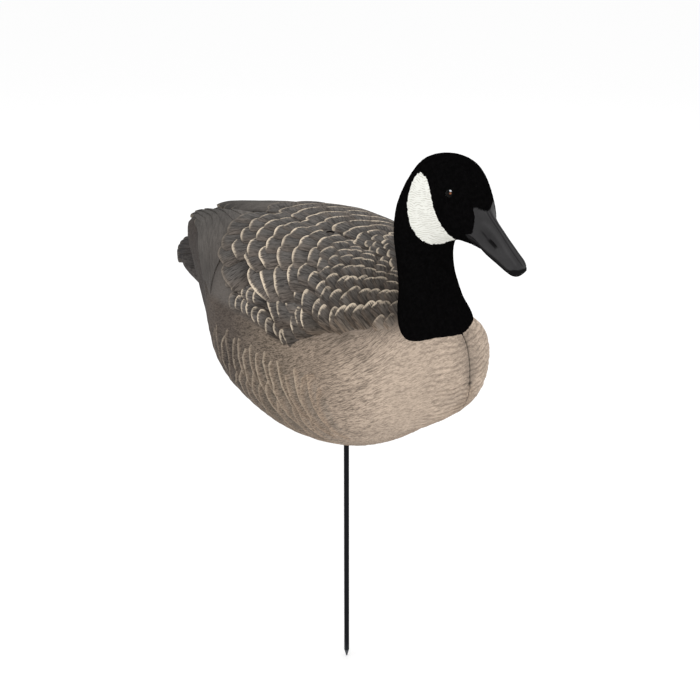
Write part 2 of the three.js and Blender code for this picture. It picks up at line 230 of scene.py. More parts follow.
@dataclass
class Nodes:
    """Short way to add and wire the nodes of one tree."""

    tree: bpy.types.NodeTree

    def feed(self, node: bpy.types.Node, inputs: dict) -> None:
        """Give inputs of a node a value or a signal.

        Args:
            node: the node.
            inputs: input name or number to a value or a signal.
        """
        for key, value in inputs.items():
            if isinstance(value, Signal):
                self.tree.links.new(value.socket, node.inputs[key])
            else:
                node.inputs[key].default_value = value

    def add(self, kind: str, inputs: dict, **settings: object) -> bpy.types.Node:
        """Add a node.

        Args:
            kind: Blender's name of the node, without ShaderNode.
            inputs: input name or number to a value or a signal.
            settings: the node's own settings.

        Returns:
            The node.
        """
        node = self.tree.nodes.new(kind if kind.startswith("Node") else "ShaderNode" + kind)
        for key, value in settings.items():
            setattr(node, key, value)
        self.feed(node, inputs)
        return node

    def read(self, kind: str, output: int | str, inputs: dict, **settings: object) -> Signal:
        """Add a node and take one of its outputs."""
        return Signal(self, self.add(kind, inputs, **settings).outputs[output])

    def parts(self, kind: str, inputs: dict, **settings: object) -> list[Signal]:
        """Add a node and take all its outputs."""
        return [Signal(self, output) for output in self.add(kind, inputs, **settings).outputs]

    def math(self, operation: str, a: Signal | float, b: Signal | float = 0.0) -> Signal:
        """One arithmetic step."""
        return self.read("Math", 0, {0: a, 1: b}, operation=operation)

    def mix(self, factor: Signal | float, a: object, b: object, blend: str = "MIX") -> Signal:
        """Mix of two colours."""
        return self.read("Mix", 2, {0: factor, 6: a, 7: b}, data_type="RGBA", blend_type=blend)

    def toned(self, colour: object, tone: Signal) -> Signal:
        """A colour times a grey tone."""
        grey = self.read("CombineColor", 0, {0: tone, 1: tone, 2: tone})
        return self.mix(1.0, colour, grey, "MULTIPLY")

    def noise(self, at: Signal, scale: float, detail: float = 2.0, rough: float = 0.5) -> Signal:
        """Value of a noise texture."""
        inputs = {"Vector": at, "Scale": scale, "Detail": detail, "Roughness": rough}
        return self.read("TexNoise", 0, inputs)

    def drawn_out(self, vector: Signal, scale: tuple) -> Signal:
        """A vector with its axes scaled."""
        return self.read("Mapping", 0, {0: vector, 3: scale})

    def attribute(self, name: str, output: str = "Color") -> Signal:
        """A piece's own attribute."""
        return self.read("Attribute", output, {}, attribute_name=name)

    def bump(self, height: Signal, distance: float, strength: float) -> Signal:
        """Normal of a fine relief."""
        inputs = {"Height": height, "Distance": distance, "Strength": strength}
        return self.read("Bump", 0, inputs)


class Finish(Nodes):
    """One material under construction."""

    def __init__(self, name: str) -> None:
        """Make the material.

        Args:
            name: its name.
        """
        self.made = bpy.data.materials.new(name)
        self.made.use_nodes = True
        super().__init__(self.made.node_tree)

    def place(self) -> Signal:
        """Where a point is on its own piece, in metres."""
        return self.read("TexCoord", "Object", {})

    def done(self, inputs: dict) -> bpy.types.Material:
        """Feed the material's shader and give the material."""
        self.feed(self.tree.nodes["Principled BSDF"], inputs)
        return self.made


def new_group(name: str, takes: dict, gives: list) -> tuple[Nodes, list[Signal], bpy.types.Node]:
    """Make an empty node group.

    Args:
        name: its name.
        takes: input names to socket kinds, Float or Vector.
        gives: names of its outputs, which are all numbers.

    Returns:
        Its Nodes helper, its inputs and its output node.
    """
    group = bpy.data.node_groups.new(name, "ShaderNodeTree")
    for direction, sockets in (("INPUT", takes), ("OUTPUT", dict.fromkeys(gives, "Float"))):
        for socket, kind in sockets.items():
            group.interface.new_socket(socket, in_out=direction, socket_type="NodeSocket" + kind)
    n = Nodes(group)
    return n, n.parts("NodeGroupInput", {})[: len(takes)], n.add("NodeGroupOutput", {})


def rim_group() -> bpy.types.NodeTree:
    """Group that finds the painted edge of a feather from its own chart.

    Returns:
        Group with Edge, the brushed crescent of the edge, thickest at the tip, fading first on
        the lower side, and broken up by the carved strokes.
    """
    takes = {"Chart": "Vector", "Place": "Vector", "Flow": "Vector", "Width": "Float"}
    n, (chart, place, flow, width), out = new_group("feather_edge", takes, ["Edge"])
    across, along, _ = n.parts("SeparateXYZ", {0: chart})
    ahead = n.math("MAXIMUM", along, 0.0)
    sideways = across * across
    crescent = n.math("MAXIMUM", width * (1.05 - sideways * 0.75), 0.02)
    inside = 1.0 - n.math("SQRT", sideways + ahead * ahead)
    barbs = n.noise(n.drawn_out(flow, (0.5, 1.0, 1.0)), 1.0)
    wave = n.noise(place, 150.0, 1.0)
    depth = n.math("DIVIDE", inside, crescent) + (barbs - 0.5) * 2.6 + (wave - 0.5) * 0.8
    kept = (along - across * 0.55).ramp(-0.35, 0.45)
    worn = n.noise(place, 95.0).ramp(0.33, 0.5, 0.6, 1.0)
    n.feed(out, {"Edge": depth.ramp(1.4, 0.4) * (kept * worn)})
    return n.tree


def streak_group() -> bpy.types.NodeTree:
    """Group with the fine carved strokes that run along the flow of the feathers.

    Returns:
        Group with Dark, where a stroke is cut, Light, where it stands proud, and Height.
    """
    gives = ["Dark", "Light", "Height"]
    n, (flow,), out = new_group("carved_strokes", {"Flow": "Vector"}, gives)
    broad = n.noise(n.drawn_out(flow, (0.45, 0.36, 1.0)), 1.0, 1.0)
    both = n.noise(flow, 1.0, 1.0) * 0.62 + broad * 0.38
    n.feed(out, {"Dark": both.ramp(0.5, 0.4), "Light": both.ramp(0.52, 0.61), "Height": both})
    return n.tree


@dataclass(frozen=True)
class PlumagePaint:
    """Matte paint over carved feathers: a wash of colour, brushed edges, darkened strokes."""

    edge_colour: tuple = solid(216, 200, 178)
    roughness: float = 0.8

    def material(self) -> bpy.types.Material:
        """Build the material.

        Returns:
            The material, which reads the attributes paint, mark and flow and the UV map quill.
        """
        n = Finish("plumage_paint")
        place, flow = n.place(), n.attribute("flow", "Vector")
        strength, width, tone = n.parts("SeparateColor", {0: n.attribute("mark")})
        relief = n.attribute("mark", "Alpha")
        chart = n.read("UVMap", 0, {}, uv_map="quill")
        inputs = {"Chart": chart, "Place": place, "Flow": flow, "Width": width}
        edge = n.read("Group", 0, inputs, node_tree=rim_group())
        dark, light, strokes = n.parts("Group", {"Flow": flow}, node_tree=streak_group())
        cloud, speck = n.noise(place, 38.0, 3.0, 0.55), n.noise(place, 700.0, 2.0, 0.6)
        tone = (tone * 0.24 + 0.88) * cloud.ramp(0.25, 0.75, 0.9, 1.1)
        tone = tone * speck.ramp(0.25, 0.75, 0.9, 1.1)
        # the strokes' own darker and lighter paint, which also stands in for shade in the cuts and
        # light on the proud ridges
        tone = tone * (1.0 - dark * relief * 0.56 + light * relief * 0.3)
        edges = {0: edge, 1: strength}
        brushed = n.read("Math", 0, edges, operation="MULTIPLY", use_clamp=True)
        height = strokes * (relief * 3.0) + speck * 0.25 + brushed * 0.3
        return n.done({
            "Base Color": n.mix(brushed, n.toned(n.attribute("paint"), tone), self.edge_colour),
            "Roughness": cloud.ramp(0.3, 0.7, self.roughness - 0.06, self.roughness + 0.08),
            "Normal": n.bump(height, 0.0006, 0.9),
            "Specular IOR Level": 0.1,
        })


@dataclass(frozen=True)
class HeadFinish:
    """Short black flock with the bare satin bill in front of it."""

    flock: tuple = (0.0031, 0.0029, 0.003, 1.0)
    bill: tuple = solid(37, 36, 37)
    # dark of the bill, also used as painted shade in its grooves and on its underside
    lip: tuple = solid(17, 16, 17)

    def material(self) -> bpy.types.Material:
        """Build the material.

        Returns:
            The material, which reads the attribute mark: flock, painted shade of the bill's grooves
            and underside, and tip.
        """
        n = Finish("flocked_head_and_bill")
        place = n.place()
        flocked, groove, tip = n.parts("SeparateColor", {0: n.attribute("mark")})
        ragged = (n.noise(place, 900.0) - 0.5) * 0.5
        covered = (flocked + ragged).ramp(0.42, 0.58)
        fuzz, clump = n.noise(place, 2600.0, 2.0, 0.7), n.noise(place, 240.0, 3.0, 0.6)
        nap = fuzz.ramp(0.3, 0.75, 0.4, 1.5) * clump.ramp(0.3, 0.7, 0.75, 1.25)
        worn = n.noise(place, 90.0, 4.0, 0.6).ramp(0.35, 0.7)
        pale = (*(v * 1.25 for v in self.bill[:3]), 1.0)
        # painted shade: the bill's grooves and underside take the dark colour, as does its tip past
        # the nail line
        dark = n.math("MAXIMUM", groove, tip)
        bill = n.mix(dark, n.mix(worn, self.bill, pale), self.lip)
        height = (fuzz + clump * 0.5) * covered + n.noise(place, 1400.0) * 0.12
        return n.done({
            "Base Color": n.mix(covered, bill, n.toned(self.flock, nap)),
            "Coat Weight": (1.0 - covered) * (0.5 - dark * 0.42),
            "Normal": n.bump(height, 0.0006, 0.8),
            "Roughness": 0.9,
            "Coat Roughness": 0.38,
            "Specular IOR Level": 0.0,
        })


@dataclass(frozen=True)
class CheekFlock:
    """Off-white flock of the cheek patch, combed in fine wavy lines."""

    colour: tuple = solid(228, 228, 221)
    shade: tuple = solid(196, 194, 183)

    def material(self) -> bpy.types.Material:
        """Build the material.

        Returns:
            The material, which needs only the piece's own place.
        """
        n = Finish("cheek_flock")
        place = n.place()
        ahead, _, up = n.parts("SeparateXYZ", {0: place})
        level = up + ahead * -0.16 + n.noise(place, 60.0) * 0.012
        wave = n.math("SINE", level * 2500.0)
        line = wave.ramp(0.45, 1.0) * n.noise(place, 190.0).ramp(0.33, 0.55)
        fuzz = n.noise(place, 2400.0, 2.0, 0.7)
        combed = n.mix(line * 0.85, self.colour, self.shade)
        return n.done({
            "Base Color": n.mix(fuzz.ramp(0.5, 0.8, 0.0, 0.35), combed, self.shade),
            "Roughness": fuzz.ramp(0.2, 0.8, 0.85, 1.0),
            "Normal": n.bump(fuzz * 0.5 - line, 0.0005, 0.7),
            "Specular IOR Level": 0.15,
        })


@dataclass(frozen=True)
class EyeGlass:
    """Glossy near-black eye with a painted brown glint in its iris and a painted highlight above.
    """

    iris: tuple = solid(140, 88, 62)
    painted_highlight: tuple = solid(205, 208, 212)
    black: tuple = (0.002, 0.002, 0.002, 1.0)

    def material(self) -> bpy.types.Material:
        """Build the material.

        Returns:
            The material, which reads the attribute mark: red for the painted glint, green for the
            painted highlight.
        """
        n = Finish("glass_eye")
        # painted light: a brown glint where light would gather in the iris, and a pale highlight
        # above
        painted_glint, highlight_spot, _ = n.parts("SeparateColor", {0: n.attribute("mark")})
        fibre = n.noise(n.place(), 1500.0, 3.0).ramp(0.3, 0.7, 0.6, 1.0)
        return n.done({
            "Base Color": n.mix(highlight_spot, n.mix(painted_glint * fibre, self.black, self.iris), self.painted_highlight),
            "Roughness": fibre.ramp(0.0, 1.0, 0.04, 0.07),
            "Specular IOR Level": 0.06,
        })


@dataclass(frozen=True)
class StakeCoating:
    """Near-black coating of the rod, with a lighter grey cone at its point."""

    colour: tuple = solid(27, 28, 31)
    worn: tuple = solid(76, 79, 82)
    cone: float = 0.0101

    def material(self) -> bpy.types.Material:
        """Build the material.

        Returns:
            The material, which needs only the piece's own place.
        """
        n = Finish("stake_coating")
        place = n.place()
        height = n.parts("SeparateXYZ", {0: place})[2]
        scratch = n.noise(n.drawn_out(place, (1.0, 1.0, 0.04)), 900.0, 3.0, 0.6)
        rubbed = height.ramp(0.04, self.cone) * scratch.ramp(0.5, 0.7)
        bare = n.math("MAXIMUM", rubbed * 0.5, height.ramp(self.cone + 0.0002, self.cone))
        return n.done({
            "Base Color": n.mix(bare, self.colour, self.worn),
            "Roughness": scratch.ramp(0.3, 0.7, 0.36, 0.52),
            "Normal": n.bump(scratch, 0.0001, 0.5),
            "Specular IOR Level": 0.0,
        })


def new_object(name: str, data: bpy.types.ID) -> bpy.types.Object:
    """Put a new object into the scene.

    Args:
        name: its name.
        data: its mesh, camera or lamp.

    Returns:
        The object.
    """
    made = bpy.data.objects.new(name, data)
    bpy.context.scene.collection.objects.link(made)
    return made


def pick(piece: bpy.types.Object) -> None:
    """Select one object alone and make it active.

    Args:
        piece: the object.
    """
    bpy.ops.object.select_all(action="DESELECT")
    piece.select_set(True)
    bpy.context.view_layer.objects.active = piece


def face_out(piece: bpy.types.Object) -> None:
    """Turn all faces of a closed piece outwards.

    Args:
        piece: the piece.
    """
    pick(piece)
    bpy.ops.object.mode_set(mode="EDIT")
    bpy.ops.mesh.select_all(action="SELECT")
    bpy.ops.mesh.normals_make_consistent(inside=False)
    bpy.ops.object.mode_set(mode="OBJECT")


def aim(thing: bpy.types.Object, place: Vector, target: Vector) -> None:
    """Put a camera or a lamp at a place and point it at a target.

    Args:
        thing: the camera or the lamp.
        place: where it goes.
        target: what it faces.
    """
    thing.location = place
    thing.rotation_mode = "QUATERNION"
    thing.rotation_quaternion = (target - place).to_track_quat("-Z", "Y")


@dataclass
class Sheet:
    """One closed mesh under construction, in millimetres, with what its paint reads."""

    faces: list = field(default_factory=list)
    values: dict = field(default_factory=lambda: {title: [] for title in WIDTHS})
    count: int = 0

    def add(self, points: np.ndarray, faces: list, **values: Value) -> None:
        """Add one closed form.

        Args:
            points: its points.
            faces: its faces, which count from its own first point.
            values: paint, mark, flow or quill, for each point or one for all.
        """
        own = {"points": points, "paint": 1.0, "mark": 1.0, "flow": points, "quill": 0.0} | values
        for title, width in WIDTHS.items():
            self.values[title].append(np.broadcast_to(own[title], (len(points), width)))
        self.faces += [tuple(self.count + i for i in f) for f in faces]
        self.count += len(points)

    def piece(
        self, name: str, material: bpy.types.Material, sharp: float = 40.0
    ) -> bpy.types.Object:
        """Make the object.

        Args:
            name: name of the piece.
            material: its finish.
            sharp: edges over this angle in degrees stay sharp.

        Returns:
            The object, at the origin.
        """
        every = {title: np.concatenate(parts) for title, parts in self.values.items()}
        mesh = bpy.data.meshes.new(name)
        mesh.from_pydata((every["points"] * MM).tolist(), [], self.faces)
        corners = np.empty(len(mesh.loops), np.int64)
        mesh.loops.foreach_get("vertex_index", corners)
        chart = mesh.uv_layers.new(name="quill")
        chart.data.foreach_set("uv", every["quill"][corners].ravel())
        every["paint"] = np.insert(every["paint"], 3, 1.0, axis=1)
        for title in ("paint", "mark"):
            layer = mesh.color_attributes.new(name=title, type="FLOAT_COLOR", domain="POINT")
            layer.data.foreach_set("color", every[title].ravel())
        layer = mesh.attributes.new(name="flow", type="FLOAT_VECTOR", domain="POINT")
        layer.data.foreach_set("vector", every["flow"].ravel())
        mesh.materials.append(material)
        mesh.validate()
        made = new_object(name, mesh)
        pick(made)
        bpy.ops.object.shade_smooth_by_angle(angle=math.radians(sharp))
        return made


@dataclass
class BodyForm:
    """The smooth form under the carving, and a chart on it.

    The chart's x is millimetres forward of the stake, and its s is millimetres round the body
    from the middle of the back, positive on the goose's right. A station has its place along,
    the heights of its top and its bottom, its half width and how square it is above and below.
    """

    front: float = 189.0
    rear: float = 252.0
    height: float = 244.0
    half_width: float = 143.0
    belly: float = 356.0
    middle: float = 0.47
    valley: float = 15.0
    stations: tuple = (
        (-1.0, 0.865, 0.78, 0.09, 0.8, 0.9),
        (-0.93, 0.91, 0.725, 0.3, 0.72, 0.9),
        (-0.78, 0.945, 0.55, 0.465, 0.67, 0.9),
        (-0.55, 0.98, 0.34, 0.71, 0.6, 0.9),
        (-0.28, 0.99, 0.15, 0.985, 0.6, 0.9),
        (0.0, 0.98, 0.02, 0.98, 0.65, 0.9),
        (0.25, 0.94, 0.0, 0.86, 0.73, 0.9),
        (0.5, 0.86, 0.07, 0.745, 0.9, 0.88),
        (0.72, 0.785, 0.195, 0.615, 1.12, 0.9),
        (0.88, 0.74, 0.285, 0.44, 0.94, 0.9),
        (0.97, 0.655, 0.365, 0.225, 1.0, 0.9),
        (1.0, 0.49, 0.465, 0.03, 1.0, 0.9),
    )

    def __post_init__(self) -> None:
        """Measure the way round at many sections, so that the chart is in millimetres."""
        self.rows = np.array(self.stations)
        self.rows[:, 0] = np.arcsin(self.rows[:, 0])
        self.xs = self.along(np.linspace(-ALMOST_QUARTER, ALMOST_QUARTER, 420))
        angles = np.linspace(0.0, 180.0, 541)
        x, a = np.meshgrid(self.xs, angles, indexing="ij")
        ring = self.at_angle(x, a, RIGHT)
        steps = np.linalg.norm(np.diff(ring, axis=1)[..., 1:], axis=-1)
        ways = np.concatenate([np.zeros((len(x), 1)), np.cumsum(steps, axis=1)], axis=1)
        self.girths = ways[:, -1]
        self.shares = np.linspace(0.0, 1.0, 361)
        self.angles = np.stack([np.interp(self.shares, way / way[-1], angles) for way in ways])

    def along(self, turn: np.ndarray) -> np.ndarray:
        """Places along the body for quarter turns back, -90 degrees, to front."""
        return np.where(turn < 0, self.rear, self.front) * np.sin(turn)

    def section(self, x: np.ndarray) -> np.ndarray:
        """The five numbers of the station at x."""
        share = np.clip(np.where(x < 0, x / self.rear, x / self.front), -1.0, 1.0)
        return curve_through(self.rows, np.arcsin(share).ravel()).reshape(x.shape + (5,))

    def at_angle(self, x: np.ndarray, degrees: np.ndarray, side: Value) -> np.ndarray:
        """Points of the form at x and at an angle from the middle of the back.

        Args:
            x: millimetres forward of the stake.
            degrees: 0 at the back, 90 at the side, 180 at the belly.
            side: RIGHT or LEFT.

        Returns:
            Points in millimetres.
        """
        high, low, wide, above, below = np.moveaxis(self.section(x), -1, 0)
        top, bottom = self.belly + high * self.height, self.belly + low * self.height
        width = np.maximum(wide * self.half_width, 1.0)
        angle = np.radians(degrees)
        c = np.cos(angle)
        power = np.where(c >= 0, above, below)
        level = lerp(bottom, top, self.middle)
        across = width * np.abs(np.sin(angle)) ** power
        reach = np.abs(c) ** power
        z = lerp(level, np.where(c >= 0, top, bottom), reach)
        depth = self.valley * smooth(-0.42 * self.rear, -0.96 * self.rear, x)
        depth = np.minimum(depth, (top - bottom) / 3)
        sunk = depth * bell(across / (0.075 * self.half_width)) * reach * (c >= 0)
        return columns(x, -side * across, z - sunk)

    def girth(self, x: Value) -> Value:
        """Half the way round the section at x."""
        return np.interp(x, self.xs, self.girths)

    def at(self, x: Value, s: Value) -> np.ndarray:
        """Points of the form at chart places.

        Args:
            x: millimetres forward of the stake.
            s: millimetres round from the middle of the back, and on over the belly.

        Returns:
            Points in millimetres.
        """
        x, s = np.broadcast_arrays(np.asarray(x, float), np.asarray(s, float))
        share = np.abs(s) / self.girth(x)
        side = np.where(s >= 0, RIGHT, LEFT) * np.where(share > 1, -1, 1)
        share = np.where(share > 1, 2 - share, share)
        i = np.clip(np.searchsorted(self.xs, x) - 1, 0, len(self.xs) - 2)
        t = np.clip((x - self.xs[i]) / (self.xs[i + 1] - self.xs[i]), 0, 1)
        place = np.clip(share, 0, 1) * (len(self.shares) - 1)
        j = np.clip(place.astype(int), 0, len(self.shares) - 2)
        u = place - j
        low = lerp(self.angles[i, j], self.angles[i, j + 1], u)
        high = lerp(self.angles[i + 1, j], self.angles[i + 1, j + 1], u)
        return self.at_angle(x, lerp(low, high, t), side)

    def lifted(self, x: np.ndarray, s: np.ndarray, lift: np.ndarray) -> np.ndarray:
        """Points moved out of the form.

        Args:
            x: chart places along.
            s: chart places around.
            lift: how far out, in millimetres.

        Returns:
            Points in millimetres.
        """
        step = 0.9
        around = self.at(x, s + step) - self.at(x, s - step)
        out = square_to(around, self.at(x + step, s) - self.at(x - step, s))
        return self.at(x, s) + out * lift[..., None]

    def wing_edge(self, x: Value) -> Value:
        """How far round the body the lower edge of wing and shoulder lies.

        Args:
            x: chart place along.

        Returns:
            Chart place around.
        """
        back = between([-250, -190, -140, -100, -60, 25], [34, 62, 118, 158, 166, 168], x)
        shoulder = np.maximum(168 - 1.13 * (x - 25), 0)
        return np.where(x < 25, np.minimum(back, 0.55 * self.girth(x)), shoulder)


class Zone(Enum):
    """Painted zones of the body, each with its colour as it looks on a screen."""

    BACK = (88, 83, 79)
    LONG_FEATHERS = (76, 73, 70)
    TAIL = (66, 62, 60)
    TAIL_END = (58, 56, 56)
    RUMP = (60, 55, 52)
    REAR_FLANK = (80, 72, 66)
    FLANK = (114, 102, 90)
    FRONT_FLANK = (140, 125, 111)
    BREAST = (176, 159, 143)
    SHOULDER = (82, 75, 69)
    # the belly's paint, taken darker to stand in for the shade under the body
    BELLY = (142, 125, 109)

    def colour(self) -> np.ndarray:
        """The zone's linear colour."""
        return pigment(*self.value)


@dataclass
class Coat:
    """Colours and flow of the plumage over the body's chart."""

    form: BodyForm
    turn: float = 72.0  # strokes turn round the breast about this place

    def below(self, x: np.ndarray, s: np.ndarray) -> np.ndarray:
        """Colour of flank, breast and belly at chart places.

        Args:
            x: chart places along.
            s: chart places around.

        Returns:
            Linear colours.
        """
        zones = [Zone.RUMP, Zone.REAR_FLANK, Zone.REAR_FLANK, Zone.FLANK, Zone.FRONT_FLANK]
        colours = [zone.colour() for zone in (*zones, Zone.BREAST)]
        drop = np.abs(s) / self.form.girth(x)
        shifted = x + 26 * smooth(0.45, 0.95, drop)
        colour = between([-125, -75, -40, 15, 70, 140], colours, shifted)
        # towards the bottom the colour goes over to the darker belly colour: painted shade under
        # the body
        under = 0.6 * smooth(-110, -30, x) * smooth(0.72, 0.95, drop)
        return lerp(colour, Zone.BELLY.colour(), under[..., None])

    def above(self, x: np.ndarray, s: np.ndarray) -> np.ndarray:
        """Colour of wings, back and shoulder at chart places.

        Args:
            x: chart places along.
            s: chart places around.

        Returns:
            Linear colours.
        """
        zones = [Zone.LONG_FEATHERS, Zone.BACK, Zone.BACK, Zone.SHOULDER]
        reach = self.form.wing_edge(x) - np.abs(s)
        colour = between([-200, -110, 30, 90], [zone.colour() for zone in zones], x)
        # painted shade: the shoulder darkens towards the wing's lower edge
        wing_edge_shade = smooth(40, 12, reach) * smooth(-30, 30, x)
        colour = lerp(colour, Zone.SHOULDER.colour() * 0.85, wing_edge_shade[..., None])
        dark = smooth(80, 122, np.abs(s)) * smooth(-70, -112, x)
        return colour * (1 - 0.36 * dark[..., None])

    def colour(self, x: np.ndarray, s: np.ndarray) -> np.ndarray:
        """Colour of the bare carved form at chart places.

        Args:
            x: chart places along.
            s: chart places around.

        Returns:
            Linear colours, which blend from one zone to the next over the shoulder.
        """
        soft = lerp(5, 30, smooth(30, 75, x))
        shift = 3 * smooth(60, 85, x) * smooth(135, 105, x)
        beyond = smooth(-1, 1, (np.abs(s) - self.form.wing_edge(x) - shift) / soft)[..., None]
        return lerp(self.above(x, s), self.below(x, s), beyond)

    def flow(self, points: np.ndarray) -> np.ndarray:
        """Coordinates that are long along the carved strokes, which run round breast and back.

        Args:
            points: places on the skin, in millimetres.

        Returns:
            Three coordinates for each place.
        """
        x, y, z = points[..., 0], np.abs(points[..., 1]), points[..., 2]
        round_breast = self.turn * np.arctan2(y, np.maximum(x - self.turn, 1e-6))
        way = np.where(x > self.turn, round_breast, self.turn * math.pi / 2 + self.turn - x)
        wide = self.form.section(x)[..., 2] * self.form.half_width
        under = (wide - y) * smooth(0.5, 0.35, (z - self.form.belly) / self.form.height)
        slant = np.cumsum([0, 2.0, 14.0, 44.0, 18.0, 26.0, 60.0])
        fall = under * smooth(150, 70, x) - z - between([0, 25, 60, 115, 150, 260, 600], slant, way)
        fall = fall + 5 * (grain(points / 24.0, 5) - 0.5) + grain(points / 8.0, 6) - 0.5
        return columns((way + 0.4 * z) / 2.1, fall / 0.78, points[..., 1] / 60.0)


@dataclass
class Feather:
    """One feather: where its tip is on the chart, which way it points and how it is painted."""

    x: float
    s: float
    side: int
    turn: float
    width: float
    length: float
    end: float
    lift: float
    edge: float
    pitch: float
    edge_width: float = 2.0
    tilt: float = 0.35
    tone: float = 0.5
    root: float = -0.8
    stroke: float = 0.9
    # painted shade: how dark a feather is painted under and just past the rim of the row in front
    shade: float = 0.58
    wave: float = 0.5
    skew: float = 0.0
    trim: float = 0.0


@dataclass
class FeatherBlank:
    """A flat feather cut once, which every feather of a coat is bent from."""

    columns: int
    rows: int

    def cut(self) -> tuple[np.ndarray, list]:
        """Model the blank as a grid with a wall and a floor.

        Returns:
            Its points, with x across from -1 to 1, y along from -1 to 1 and z 0 or -1, and its
            faces.
        """
        counts = {"x_subdivisions": self.columns, "y_subdivisions": self.rows}
        bpy.ops.mesh.primitive_grid_add(size=2, **counts)
        blank = bpy.context.object
        bpy.ops.object.mode_set(mode="EDIT")
        bpy.ops.mesh.select_mode(type="EDGE")
        bpy.ops.mesh.select_all(action="SELECT")
        bpy.ops.mesh.region_to_loop()
        bpy.ops.mesh.extrude_edges_move(TRANSFORM_OT_translate={"value": (0, 0, -1)})
        bpy.ops.mesh.edge_face_add()
        bpy.ops.object.mode_set(mode="OBJECT")
        face_out(blank)
        points = np.array([v.co for v in blank.data.vertices])
        faces = [tuple(p.vertices) for p in blank.data.polygons]
        bpy.data.meshes.remove(blank.data)
        return points, faces


@dataclass
class Plumage:
    """Coat of overlapping feathers, each bent over the body's form."""

    form: BodyForm
    coat: Coat
    hole_reach: float = 7.0
    hole_dip: float = 7.0  # how deep feathers dip at the hanging hole
    underside: float = 1.6
    wide: float = 24.0  # a feather wider than this is bent from the finer blank

    def __post_init__(self) -> None:
        """Cut a blank for wide feathers and one for small ones."""
        self.fine = FeatherBlank(columns=12, rows=8).cut()
        self.coarse = FeatherBlank(columns=8, rows=6).cut()

    def bend(self, sheet: Sheet, f: Feather, below: bool = False) -> None:
        """Bend one feather over the form and add it to a sheet.

        Args:
            sheet: the sheet that it joins.
            f: the feather.
            below: True for flank and belly, whose colours it then takes.
        """
        blank, faces = self.fine if f.width > self.wide else self.coarse
        turn = blank[:, 0] * f.side
        across = np.sin(turn * math.pi / 2)
        lean = (turn + f.skew * (1 - turn**2)) * math.pi / 2
        v = 1 - (1 - (blank[:, 1] + 1) / 2) ** 1.5
        half = f.width / 2
        y = across * half * lerp(0.7, 1.0, smooth(0.0, 0.5, v))
        straight = f.length - f.end
        a = v * straight + v**1.5 * f.end * np.cos(lean)
        ahead = (a - straight) / f.end
        back = a - f.length + f.wave * 3.2 * (grain(columns(y / 8.5, f.x, f.s), 9) - 0.5) * v
        phi = math.radians(f.turn)
        x = f.x - math.cos(phi) * back + math.sin(phi) * y
        s = f.s + math.sin(phi) * back + math.cos(phi) * y
        rim = np.hypot(np.sin(lean), np.maximum(ahead, 0))
        lift = lerp(f.root, f.lift, v**1.25) + f.tilt * (y / half) * smooth(0.1, 0.6, v)
        lift = lift + 0.02 * f.width * (1 - (y / half) ** 2) * v - 0.35 * smooth(0.9, 1.0, rim)
        lift = np.where(blank[:, 2] < -0.5, np.minimum(lift, f.root) - self.underside, lift)
        lift = lift - self.hole_dip * bell(((x - HOLE_X) ** 2 + s**2) / self.hole_reach**2)
        x = np.clip(x, -self.form.rear + 0.5, self.form.front - 0.5)
        points = self.form.lifted(x, s * f.side, lift)
        colour = self.coat.below(x, s) if below else self.coat.above(x, s)
        if not below and f.x > 35:
            colour = lerp(colour, self.coat.colour(x, s), smooth(35, 65, x)[:, None])
        # painted shade on the part of the feather under and just past the rim of the row in front
        near = f.length - f.pitch
        shade = lerp(f.shade, 1.06, smooth(near - 4, near + 0.55 * f.pitch, a))
        warm = smooth(0.45, 0.95, rim)[:, None]
        colour = colour * shade[:, None] * lerp(*TINTS, warm)
        fan = y * (1 + 0.35 * (1 - a / f.length))
        sheet.add(
            points,
            faces,
            paint=colour,
            mark=[f.edge, min(f.edge_width / f.end, 0.6), f.tone, f.stroke],
            quill=columns(np.sin(lean), ahead - f.trim * np.clip(across, 0, 1) ** 1.5),
            flow=self.coat.flow(points) if below else columns(a / 7.5, fan / 1.3, f.tone * 90.0),
        )


@dataclass
class FeatherCoat:
    """Feathers that are laid together as one piece."""

    plumage: Plumage

    def lay(self, sheet: Sheet, side: int, chance: np.random.Generator) -> None:
        """Add the feathers of one side to a sheet; each coat has its own."""

    def piece(
        self, name: str, seed: int, sides: tuple, material: bpy.types.Material
    ) -> bpy.types.Object:
        """Make the coat.

        Args:
            name: name of the piece.
            seed: start of its small irregularities.
            sides: RIGHT, LEFT or both.
            material: its finish.

        Returns:
            The piece.
        """
        chance = np.random.default_rng(seed)
        sheet = Sheet()
        for side in sides:
            self.lay(sheet, side, chance)
        return sheet.piece(name, material)


